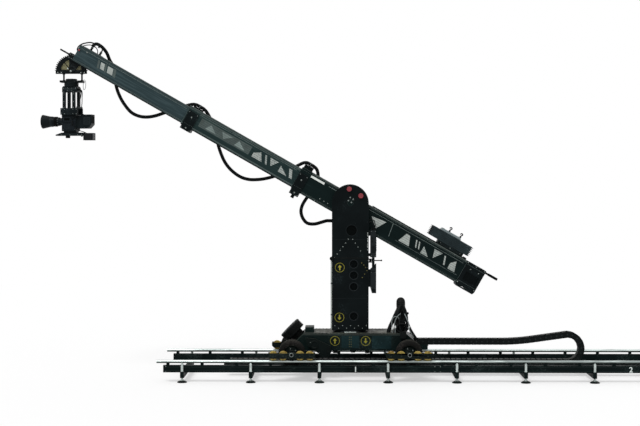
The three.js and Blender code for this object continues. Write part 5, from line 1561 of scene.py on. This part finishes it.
# %% Middle tube trim
MID_PATCH_SHARES = (
    ((0.0, 0.0), (0.07, 0.0), (0.15, 1.0), (0.08, 1.0)), ((0.13, 0.0), (0.33, 0.0), (0.33, 0.8)),
    ((0.40, 1.0), (0.60, 1.0), (0.52, 0.1)), ((0.60, 0.0), (0.64, 0.0), (0.72, 1.0), (0.68, 1.0)),
    ((0.72, 0.0), (0.96, 0.0), (0.96, 0.5), (0.82, 1.0)))
MID_DIM_SHARES = (((0.03, 0.1), (0.26, 0.1), (0.20, 0.9)), ((0.34, 0.9), (0.58, 0.9), (0.50, 0.1)),
                  ((0.66, 0.1), (0.90, 0.1), (0.82, 0.9)))
form = Form("track_edge", BOOM)
rivets(form, MID_WEB, 0.70, 1.93, (0.030, -0.140), 0.055)
# The upper flange's pale line is a painted highlight.
form.finish = "flange_highlight"
edge_lines(form, MID_REACH, *MID_SPAN, 0.0560, half=0.0030, proud=FLUSH)
# Thin pale lines along the flange edges, which are painted highlights.
form.finish = "boom_edge"
edge_lines(form, MID_REACH, *MID_SPAN, 0.0460, proud=FLUSH)
edge_lines(form, MID_REACH, *MID_SPAN, -0.161, proud=FLUSH)
# A dark strip along the lower flange, which is painted shade.
form.finish = "post_black"
edge_lines(form, MID_REACH, *MID_SPAN, -0.1682, half=0.0058, proud=FLUSH)
form.finish = "trim_line"
edge_line(form, -MID_WEB, 0.70, 1.94, 0.0200)
form.finish = "label_dim"
painted(form, -MID_WEB, [(1.26, -0.098), (1.905, -0.098), (1.905, -0.001), (1.26, -0.001)])
form.finish = "label_pale"
patches(form, -MID_WEB, 0.70, 1.24, -0.096, -0.004, MID_PATCH_SHARES)
form.finish = "trim_line"
patches(form, -MID_WEB - PAINT_DEPTH, 1.30, 1.88, -0.092, -0.008, MID_DIM_SHARES)
form.finish = "mid_paint"
for k in range(4):
    edge_line(form, -MID_WEB - 2 * PAINT_DEPTH, 0.69, 1.91, -0.084 + 0.022 * k, 0.0009)
form.finish = "screw_zinc"
form.screws((0.69, 1.0, 1.3, 1.6, 1.92), MID_REACH - SUNK, (0.050, -0.165), 0.004)
form.piece("middle_tube_trim", "mid_stage")

# %% Front tube trim
form = Form("track_edge", BOOM)
rivets(form, FRONT_WEB, 2.13, 3.42, (0.012, -0.130), 0.050)
edge_lines(form, FRONT_REACH, *FRONT_SPAN, 0.030, proud=FLUSH)
# Thin pale lines along the flange edges, which are painted highlights.
form.finish = "boom_edge"
edge_lines(form, FRONT_REACH, *FRONT_SPAN, -0.151, proud=FLUSH)
# A pale line along the near upper flange, which is a painted highlight.
form.finish = "flange_highlight"
edge_line(form, -FRONT_REACH, *FRONT_SPAN, 0.0375, 0.0026, FLUSH)
# A dark strip along the lower flange, which is painted shade.
form.finish = "post_black"
edge_lines(form, FRONT_REACH, *FRONT_SPAN, -0.1574, half=0.0052, proud=FLUSH)
form.finish = "trim_line"
edge_line(form, -FRONT_WEB, 2.11, 3.47, 0.008)
form.finish = "label_dim"
slanted_bars(form, -FRONT_WEB, 2.98, 3.22, -0.095, -0.006, ((0.0, 0.13), (0.50, 0.08), (0.87, 0.10)))
form.finish = "label_pale"
slanted_bars(form, -FRONT_WEB, 2.98, 3.22, -0.086, -0.014, ((0.17, 0.28), (0.62, 0.20)))
form.finish = "screw_zinc"
form.screws((2.13, 2.45, 2.78, 3.11, 3.44), FRONT_REACH - SUNK, (0.031, -0.153), 0.0038)
form.screw((3.39, -FRONT_WEB, 0.002), NEAR, 0.0085)
form.piece("front_tube_trim", "front_stage")

# %% Tail trim
TAIL_FACE = 0.125
GRIP_RADIUS = 0.0142
GRIP_RIBS = 9
GRIP_RIB_PITCH = 0.012
TAIL_SCREWS = ((-1.536, 0.020), (-1.636, 0.022), (-1.475, 0.075), (-1.685, 0.075), (-1.475, -0.17),
               (-1.685, -0.17), (-1.58, 0.075))
form = Form("boom_edge", BOOM)
for side in BOTH:
    for height in (-0.150, 0.0525):
        form.block((-1.688, side * (TAIL_FACE - 0.0005), height),
                   (-1.476, side * (TAIL_FACE + 0.0012), height + 0.0025))
# Near black behind the slats, which is painted shade.
form.finish = "dark_inside"
form.block((-1.665, -0.1268, -0.118), (-1.508, -0.1245, -0.02))
form.block((-1.7035, -0.095, -0.12), (-1.7005, 0.095, 0.05))
form.finish = "post_black"
for k in range(9):
    height = -0.113 + 0.0105 * k
    form.block((-1.660, -0.1285, height), (-1.513, -0.1255, height + 0.005))
form.finish = "screw_zinc"
for place, height in TAIL_SCREWS:
    form.screws((place,), TAIL_FACE, (height,), 0.0065)
form.finish = "rubber_grip"
grip = [(0, 0.05), (GRIP_RADIUS, 0.05)]
for k in range(GRIP_RIBS):
    start = 0.052 + GRIP_RIB_PITCH * k
    grip += [(GRIP_RADIUS, start), (GRIP_RADIUS + 0.0008, start + 0.003), (GRIP_RADIUS, start + 0.006)]
form.boss((-1.700, 0, 0.066), BEHIND, [*grip, (GRIP_RADIUS, 0.1645), (0.011, 0.1668), (0, 0.1668)], 28)
form.finish = "screw_zinc"
form.boss((-1.7005, 0, 0.066), BEHIND, [(0.0118, 0.0), (0.022, 0.0), (0.022, 0.005), (0.0118, 0.005)], 32)
form.piece("tail_trim", "boom")

# %% Saddle trim
def saddle_trim(name, body, start, end, half, top, bottom, shelf):
    form = Form("screw_zinc", BOOM)
    face = half + 0.0083
    middle = (start + end) / 2
    form.screws((middle,), face, (-0.050, bottom + 0.030), 0.0085)
    form.screws((start + 0.012, end - 0.012), face, (top - 0.016, bottom + 0.012), 0.0045)
    form.finish = "boom_edge"
    for k in range(6):
        left = start + 0.012 + (end - start - 0.024) * k / 6
        form.block((left, -face - 0.0008, -0.1400), (left + 0.008, -face + 0.0005, -0.1375))
    form.finish = "motor_black"
    form.block((middle - 0.006, 0.131, shelf - 0.001), (middle + 0.006, half + 0.0645, shelf + 0.0035))
    form.finish = "lead_grey"
    arch = ((0.108, 0.001), (0.108, 0.030), (0.120, 0.040), (0.150, 0.040), (0.162, 0.030), (0.162, 0.001))
    lead(form, [(middle, y, shelf + up) for y, up in arch], 0.003, 8, 0.004)
    form.piece(name, body)


saddle_trim("rear_saddle_trim", "boom", 0.545, 0.655, BASE_REACH, 0.020, -0.240, 0.1298)
saddle_trim("front_saddle_trim", "mid_stage", 1.950, 2.075, MID_REACH, 0.013, -0.213, 0.078)

# %% [markdown]
# ## Counterweights
# A stack of cast plates with pointed ends sits on a carriage that runs out as the boom does.
# The frame holds the stack as one solid with its zigzag ends. The gaps between the plates show
# as dark seams, so the stack is made again here plate by plate, each with its own soft edge,
# round a near black core that paints the shade in the seams.

# %% Weight plates
STACK_START = -1.445
STACK_END = -0.920
STACK_BOTTOM = 0.1301
STACK_HEIGHT = 0.115
STACK_PLATES = 6
STACK_HALF = 0.150
STACK_POINT = 0.028
SEAM = 0.0012
HOOK = ((0, 0.288), (-0.004, 0.298), (-0.011, 0.305), (-0.008, 0.316), (0.002, 0.319), (0.011, 0.313),
        (0.012, 0.303))
form = Form("weight_slate", BOOM)
thick = STACK_HEIGHT / STACK_PLATES
top = STACK_BOTTOM + STACK_HEIGHT
for k in range(STACK_PLATES):
    low = STACK_BOTTOM + k * thick + SEAM / 2
    high = low + thick - SEAM
    middle = (low + high) / 2
    half = STACK_HALF - 0.00125 * ((k * 2) % 3)
    start = STACK_START + STACK_POINT
    end = STACK_END - STACK_POINT
    form.prism([(start, low), (end, low), (STACK_END, middle), (end, high), (start, high),
                (STACK_START, middle)], -half, half)
# A near black core inside the stack paints the shade in the seams.
form.finish = "dark_inside"
form.block((STACK_START + 0.020, 0.006 - STACK_HALF, STACK_BOTTOM + 0.003),
           (STACK_END - 0.020, STACK_HALF - 0.006, top - 0.003))
form.finish = "plate_grey"
form.block((-1.280, -0.100, top - 0.001), (-1.030, 0.100, top + 0.0115))
form.block((-1.272, -0.092, top + 0.0105), (-1.038, 0.092, top + 0.0250))
form.finish = "motor_black"
for place in (-1.268, -1.130):
    form.rod((place, 0, top - 0.002), (place, 0, 0.292), 0.0085, 16)
    lead(form, [(place + ahead, 0, height) for ahead, height in HOOK], 0.0065, 10, 0.003)
    form.rod((place, 0, top + 0.0245), (place, 0, top + 0.034), 0.0125, 6)
form.finish = "screw_zinc"
for place in (-1.255, -1.055):
    for y in (-0.075, 0.075):
        form.screw((place, y, top + 0.0250), UP, 0.006)
form.piece("weight_plates", "weights", bevel=0.0012, replaces=["weight_stack"])

# %% Carriage trim
form = Form("screw_zinc", BOOM)
form.screws((-1.35, -1.22, -1.095), 0.100, (0.113,), 0.006)
form.finish = "motor_black"
for side in BOTH:
    for place in (-1.36, -1.085):
        form.rod((place, side * 0.0985, 0.1075), (place, side * 0.106, 0.1075), 0.011, 28, edge=0.0012)
form.piece("carriage_trim", "weights")

# %% [markdown]
# ## Nose and level sector
# At the boom's nose a toothed half disc hangs from a pivot. A belt inside the boom turns it
# against the tilt, which keeps the camera level. Its web shows through a wide window as dull
# olive metal behind two thin spokes.

# %% Nose trim
NOSE_FACE = 3.560
NOSE_REACH = 0.1155
NOSE_ROD = (-0.045, -0.116)
PORT_BOSS = [(0, -0.002), (0.019, -0.002), (0.019, 0.004), (0.0125, 0.006), (0.0125, 0.022), (0.0145, 0.024),
             (0.0145, 0.036), (0.0122, 0.0385), (0, 0.0385)]
BOSS_RING = [(0.0146, 0.0255), (0.0152, 0.0265), (0.0152, 0.0335), (0.0146, 0.0345)]
NOSE_KNOB = [(0, 0), (0.011, 0), (0.0115, 0.001), (0.0115, 0.009), (0.009, 0.012), (0, 0.012)]
PIVOT_NUT = [(0, 0.0), (0.012, 0.0), (0.0125, 0.001), (0.0125, 0.004), (0.009, 0.0055), (0, 0.0055)]
ROD_COLLAR = [(0.0094, 0), (0.014, 0), (0.015, 0.001), (0.015, 0.007), (0.014, 0.008), (0.0094, 0.008)]
form = Form("knob_red", BOOM)
form.boss((3.480, -0.0815, -0.019), NEAR, NOSE_KNOB, 24)
form.finish = "screw_zinc"
form.screws((3.515, 3.545), 0.060, (-0.104, -0.145), 0.005)
for side in BOTH:
    form.boss((3.4556, side * 0.036, -0.2714), (0, side, 0), PIVOT_NUT, 6)
form.finish = "motor_black"
form.rod((NOSE_FACE + 0.0005, *NOSE_ROD), (NOSE_FACE + NOSE_REACH, *NOSE_ROD), 0.0093, 24,
         edge=0.0015)
form.boss((NOSE_FACE + 0.0002, *NOSE_ROD), AHEAD, ROD_COLLAR, 24)
for chosen, profile in (("motor_black", PORT_BOSS), ("screw_zinc", BOSS_RING)):
    form.finish = chosen
    for place in (3.273, 3.386):
        form.boss((place, 0.030, 0.0425), UP, profile, 28)
form.finish = "cable_jacket"
lead(form, [(3.273, 0.030, 0.080), (3.273, 0.030, 0.100), (3.283, 0.022, 0.122), (3.318, 0.008, 0.134),
            (3.372, -0.006, 0.130), (3.424, -0.018, 0.116), (3.466, -0.028, 0.084), (3.498, -0.036, 0.048),
            (3.513, -0.044, 0.008), (3.508, -0.044, -0.026), (3.495, -0.044, -0.038)], 0.0075, 12)
lead(form, [(3.301, 0.034, 0.044), (3.318, 0.020, 0.078), (3.352, -0.002, 0.098), (3.402, -0.022, 0.094),
            (3.448, -0.036, 0.066), (3.470, -0.044, 0.043)], 0.0052)
form.finish = "motor_black"
for place, height in ((3.372, 0.118), (3.318, 0.122)):
    form.block((place - 0.007, -0.020, height - 0.014), (place + 0.007, 0.020, height + 0.018))
form.finish = "post_edge"
form.block((3.23, -0.055, 0.042), (3.45, 0.055, 0.0455))
form.piece("nose_trim", "front_stage", bevel=0.0006)

# %% Level sector trim
SECTOR_FACE = 0.020
WINDOW_WEB = 0.004
WINDOW_RADIUS = 0.1145
WINDOW_RISE = 0.0142
RIM_SCREW_RADIUS = 0.150
PIN_WASHER = [(0.0128, 0), (0.020, 0), (0.021, 0.001), (0.021, 0.002), (0.0128, 0.002)]
WEB_SCREWS = ((-0.040, 0.030, 0.008), (0.036, 0.026, 0.006), (0.052, 0.034, 0.006), (0.004, 0.078, 0.006))
form = Form("sector_olive", LEVEL)
window = [(x, WINDOW_RISE + z) for x, z in around(80, WINDOW_RADIUS)[:41]]
for side in BOTH:
    form.finish = "sector_olive"
    form.prism(window, side * (WINDOW_WEB - 0.0005), side * (WINDOW_WEB + 0.001))
    form.finish = "sector_black"
    for degrees in (52, 128):
        form.block((0.024, side * (WINDOW_WEB + 0.0005), -0.0030), (0.124, side * 0.012, 0.0030),
                   Matrix.Rotation(-math.radians(degrees), 4, "Y"))
    form.finish = "jack_steel"
    for x, z, size in WEB_SCREWS:
        form.screw((x, side * (WINDOW_WEB + 0.001), z), (0, side, 0), size)
    form.boss((0, side * SECTOR_FACE, 0), (0, side, 0), PIN_WASHER, 28)
form.finish = "head_edge"
for x, z in around(26, RIM_SCREW_RADIUS, 0.5)[:13]:
    form.screws((x,), SECTOR_FACE, (z,), 0.0042)
form.finish = "jack_steel"
form.screws((-0.150, -0.110, 0.110, 0.150), SECTOR_FACE, (-0.014,), 0.005)
form.finish = "motor_black"
for x in (-0.084, 0.119):
    form.rod((x, 0, -0.1069), (x, 0, -0.0995), 0.0165, 6, edge=0.001)
    form.rod((x, 0, -0.0292), (x, 0, -0.037), 0.0165, 6, edge=0.001)
    form.rod((x, 0, -0.1), (x, 0, -0.036), 0.0097, 24)
form.finish = "sector_black"
for x in (-0.108, 0.125):
    for y in (-0.062, 0.062):
        form.screw((x, y, -0.107), UP, 0.0055)
form.finish = "lead_grey"
lead(form, [(0.128, 0.030, -0.105), (0.139, 0.030, -0.094), (0.151, 0.028, -0.106), (0.157, 0.024, -0.150),
            (0.150, 0.020, -0.196), (0.136, 0.018, -0.205), (0.130, 0.018, -0.180), (0.131, 0.018, -0.1285)],
     0.0028, 8, 0.005)
form.piece("level_sector_trim", "level")

# %% [markdown]
# ## The remote head
# Under the sector hangs a remote head: a round pan housing, four square legs, and a tilt block
# between two cheeks that the camera is slung from. Its round parts are turned again here with
# more sides than the frame has, and get grooves, seams and small knobs.

# %% Pan housing
HOUSING_PROFILE = [
    (0, -0.175), (0.076, -0.175), (0.0795, -0.1735), (0.0805, -0.170), (0.0805, -0.1605), (0.0785, -0.1595),
    (0.0785, -0.1565), (0.0805, -0.1555), (0.0805, -0.1435), (0.0785, -0.1425), (0.0785, -0.1395),
    (0.0805, -0.1385), (0.0805, -0.1305), (0.0785, -0.1283), (0.058, -0.1283), (0.058, -0.1067),
    (0.0635, -0.1067), (0.064, -0.106), (0.064, -0.0915), (0.059, -0.0867), (0.03, -0.0867),
    (0.028, -0.0885), (0, -0.0885)]
HOUSING_FOOT = [(-0.088, -0.236), (0.088, -0.236), (0.088, -0.187), (0.077, -0.170), (-0.077, -0.170),
                (-0.088, -0.187)]
FOOT_FACE = 0.0648
form = Form("head_paint", PAN)
form.turned(HOUSING_PROFILE, sides=72)
form.prism(HOUSING_FOOT, -0.064, 0.064)
form.finish = "head_edge"
form.block((-0.0888, -0.050, -0.228), (0.0888, 0.050, -0.192))
form.block((-0.078, -FOOT_FACE, -0.228), (0.078, FOOT_FACE, -0.188))
form.finish = "screw_zinc"
form.screws((-0.070, -0.024, 0.024, 0.070), FOOT_FACE, (-0.194, -0.222), 0.0036)
for x, y in around(6, 0.046):
    form.screw((x, y, -0.0867), UP, 0.0045)
form.finish = "motor_black"
for y, radius, length in ((-0.03, 0.012, 0.017), (0.02, 0.010, 0.015)):
    form.boss((0.088, y, -0.208), AHEAD,
              [(0, 0), (radius, 0), (radius + 0.0005, 0.001), (radius + 0.0005, length - 0.0025),
               (radius - 0.002, length), (0, length)], 20)
form.piece("pan_housing", "head", bevel=0.001, replaces=["head_housing"])

# %% Leg trim
LEG_X = 0.056
LEG_FACE = 0.0963
LEG_KNOB = [(0, 0.008), (0.0115, 0.008), (0.0125, 0.010), (0.0125, 0.0165), (0.010, 0.0185), (0, 0.0185)]
form = Form("motor_black", PAN)
for side in BOTH:
    for x in (-LEG_X, LEG_X):
        form.boss((x, side * (LEG_FACE - 0.009), -0.383), (0, side, 0), LEG_KNOB, 10)
form.finish = "screw_zinc"
form.screws((-LEG_X, LEG_X), LEG_FACE, (-0.238, -0.258, -0.345, -0.408), 0.0045)
form.screws((-0.086, -0.05, 0.05, 0.090), 0.100, (-0.430, -0.480), 0.0042)
form.finish = "head_edge"
for side in BOTH:
    for x in (-LEG_X, LEG_X):
        for z in (-0.270, -0.334):
            form.block((x - 0.0162, side * (LEG_FACE - 0.0005), z - 0.001),
                       (x + 0.0162, side * (LEG_FACE + 0.0007), z + 0.001))
form.finish = "cable_jacket"
lead(form, [(0.095, -0.03, -0.208), (0.115, -0.03, -0.210), (0.126, -0.034, -0.230), (0.124, -0.045, -0.285),
            (0.112, -0.06, -0.345), (0.100, -0.070, -0.385), (0.093, -0.074, -0.403)], 0.0055)
lead(form, [(0.094, 0.02, -0.208), (0.110, 0.02, -0.212), (0.118, 0.024, -0.238), (0.112, 0.036, -0.300),
            (0.104, 0.056, -0.350), (0.095, 0.070, -0.388), (0.092, 0.074, -0.403)], 0.0042)
form.piece("leg_trim", "head")

# %% Camera lens
LENS = PAN @ moved(0, 0, -0.565) @ facing((0, 0, 0), BEHIND)
LENS_REAR = 0.0923
LENS_TICKS = 12
LENS_PROFILE = [
    (0, LENS_REAR), (0.041, LENS_REAR), (0.041, 0.132), (0.0465, 0.134), (0.048, 0.1355), (0.048, 0.140),
    (0.0462, 0.141), (0.0462, 0.145), (0.048, 0.146), (0.048, 0.1605), (0.046, 0.162), (0.046, 0.194),
    (0.0545, 0.194), (0.0552, 0.196), (0.0556, 0.205), (0.0538, 0.2065), (0.0542, 0.2135), (0.0564, 0.215),
    (0.0588, 0.247), (0.060, 0.250), (0.0768, 0.328), (0.0775, 0.330), (0.0778, 0.3345), (0.0772, 0.3395),
    (0.0760, 0.340), (0.0745, 0.339), (0.068, 0.326), (0.061, 0.316), (0.061, 0.3145), (0, 0.3145)]
GLASS_PROFILE = [(0, 0.3295), (0.018, 0.3285), (0.036, 0.3255), (0.052, 0.3205), (0.0605, 0.3165),
                 (0.0605, 0.3148), (0, 0.3148)]
form = Form("head_paint", LENS)
form.turned(LENS_PROFILE, sides=72)
form.finish = "head_edge"
for along in (0.219, 0.226, 0.233, 0.240):
    form.turned([(0.0560, along - 0.002), (0.0592, along - 0.001), (0.0592, along + 0.001),
                 (0.0560, along + 0.002)], sides=56)
form.finish = "label_pale"
for turn in turns(LENS_TICKS):
    form.block((0.0478, -0.0008, 0.150), (0.0485, 0.0008, 0.157), turn)
form.piece("lens_barrel", "camera", replaces=["camera_lens"])
Form("lens_glass", LENS).turned(GLASS_PROFILE, sides=56).piece("lens_glass", "camera")

# %% Focus ring
FOCUS_TEETH = 72
FOCUS_PROFILE = [(0.0466, 0.163), (0.0535, 0.163), (0.0545, 0.164), (0.0545, 0.192), (0.0535, 0.193),
                 (0.0466, 0.193)]
form = Form("rubber_grip", LENS).turned(FOCUS_PROFILE, sides=72)
for turn in turns(FOCUS_TEETH):
    form.block((0.0538, -0.0011, 0.166), (0.0559, 0.0011, 0.190), turn)
form.piece("focus_grip", "focus", replaces=["focus_ring"])

# %% Camera body trim
CAMERA_FACE = 0.0725
BATTERY_FACE = 0.0592
CAMERA_BUTTON = [(0, 0), (0.0055, 0), (0.005, 0.0035), (0, 0.0035)]
CAMERA_SOCKET = [(0.0035, 0), (0.0098, 0), (0.0102, 0.001), (0.0102, 0.0055), (0.009, 0.0065),
                 (0.0035, 0.0065)]
form = Form("camera_shell", PAN)
for side in BOTH:
    form.finish = "camera_shell"
    form.block((-0.080, side * 0.0695, -0.662), (0.066, side * CAMERA_FACE, -0.512))
    form.finish = "head_edge"
    form.block((-0.070, side * 0.0715, -0.560), (0.010, side * 0.0740, -0.522))
    form.finish = "dark_inside"
    form.block((-0.064, side * CAMERA_FACE, -0.556), (0.004, side * 0.0748, -0.527))
    form.finish = "motor_black"
    for k in range(5):
        form.boss((-0.064 + 0.017 * k, side * CAMERA_FACE, -0.578), (0, side, 0), CAMERA_BUTTON, 14)
    for k in range(3):
        form.boss((0.034, side * CAMERA_FACE, -0.535 - 0.032 * k), (0, side, 0), CAMERA_SOCKET, 20)
    form.finish = "head_edge"
    for k in range(9):
        form.block((-0.070, side * (CAMERA_FACE - 0.0008), -0.598 - 0.0066 * k),
                   (0.008, side * (CAMERA_FACE + 0.0008), -0.5955 - 0.0066 * k))
    form.block((0.120, side * 0.0575, -0.635), (0.1215, side * BATTERY_FACE, -0.492))
    form.block((0.160, side * 0.0575, -0.600), (0.235, side * BATTERY_FACE, -0.520))
    # Near black slots on the battery, which are painted shade.
    form.finish = "dark_inside"
    for k in range(7):
        form.block((0.166, side * (BATTERY_FACE - 0.0008), -0.592 + 0.0102 * k),
                   (0.229, side * (BATTERY_FACE + 0.0008), -0.588 + 0.0102 * k))
form.finish = "screw_zinc"
form.screws((-0.076, 0.062), CAMERA_FACE, (-0.517, -0.657), 0.003)
form.finish = "knob_red"
form.boss((-0.084, -0.050, -0.520), BEHIND, [(0, 0), (0.006, 0), (0.0055, 0.004), (0, 0.004)], 16)
form.finish = "camera_shell"
form.block((-0.098, -0.046, -0.613), (-0.0915, 0.046, -0.517))
form.block((0.0755, -0.050, -0.655), (0.079, 0.050, -0.51))
form.finish = "rubber_grip"
form.block((0.2515, -0.045, -0.585), (0.2555, 0.045, -0.505))
form.finish = "cable_jacket"
lead(form, [(0.034, -0.078, -0.567), (0.036, -0.092, -0.570), (0.046, -0.098, -0.590),
            (0.078, -0.096, -0.640), (0.120, -0.086, -0.668), (0.160, -0.066, -0.682),
            (0.186, -0.045, -0.694)], 0.0042)
lead(form, [(0.034, -0.0775, -0.535), (0.039, -0.0788, -0.532), (0.060, -0.0790, -0.522),
            (0.100, -0.0780, -0.502), (0.135, -0.068, -0.486), (0.152, -0.052, -0.483),
            (0.156, -0.042, -0.4885)], 0.0038)
form.piece("camera_trim", "camera", bevel=0.0005)

# %% Base plate and monitor trim
PLATE_FACE = 0.055
PLATE_BOTTOM = -0.7248
PLATE_KNOB = facing((-0.044, 0, PLATE_BOTTOM), DOWN)
PLATE_KNOB_PROFILE = [(0, 0.0), (0.0242, 0.0), (0.0248, 0.001), (0.0248, 0.0215), (0.022, 0.0262),
                      (0.010, 0.0262), (0.009, 0.025), (0, 0.025)]
PLATE_STUD_PROFILE = [(0, 0), (0.010, 0), (0.0105, 0.0085), (0.008, 0.0105), (0, 0.0105)]
KNURLS = 18
form = Form("screen_glass", PAN)
form.block((0.259, -0.043, -0.768), (0.2612, 0.043, -0.703))
form.block((0.166, -0.0508, -0.768), (0.250, -0.0495, -0.703))
form.finish = "camera_shell"
for low_y, low_z, high_y, high_z in ((-0.050, -0.776, -0.043, -0.695), (0.043, -0.776, 0.050, -0.695),
                                     (-0.043, -0.776, 0.043, -0.768), (-0.043, -0.703, 0.043, -0.695)):
    form.block((0.2595, low_y, low_z), (0.2625, high_y, high_z))
form.finish = "head_edge"
for side in BOTH:
    form.block((-0.142, side * (PLATE_FACE - 0.0005), -0.7095),
               (0.150, side * (PLATE_FACE + 0.0006), -0.7065))
form.finish = "screw_zinc"
form.screws((-0.150, -0.10, 0.0, 0.09, 0.135), PLATE_FACE, (-0.717,), 0.0042)
form.finish = "motor_black"
form.turned(PLATE_KNOB_PROFILE, PLATE_KNOB, 36)
for turn in turns(KNURLS):
    form.block((0.0238, -0.0018, 0.003), (0.0258, 0.0018, 0.020), PLATE_KNOB @ turn)
form.boss((0.12, 0, PLATE_BOTTOM), DOWN, PLATE_STUD_PROFILE, 20)
form.piece("base_plate_trim", "camera", bevel=0.0005)
print("boom, nose, head and camera done")
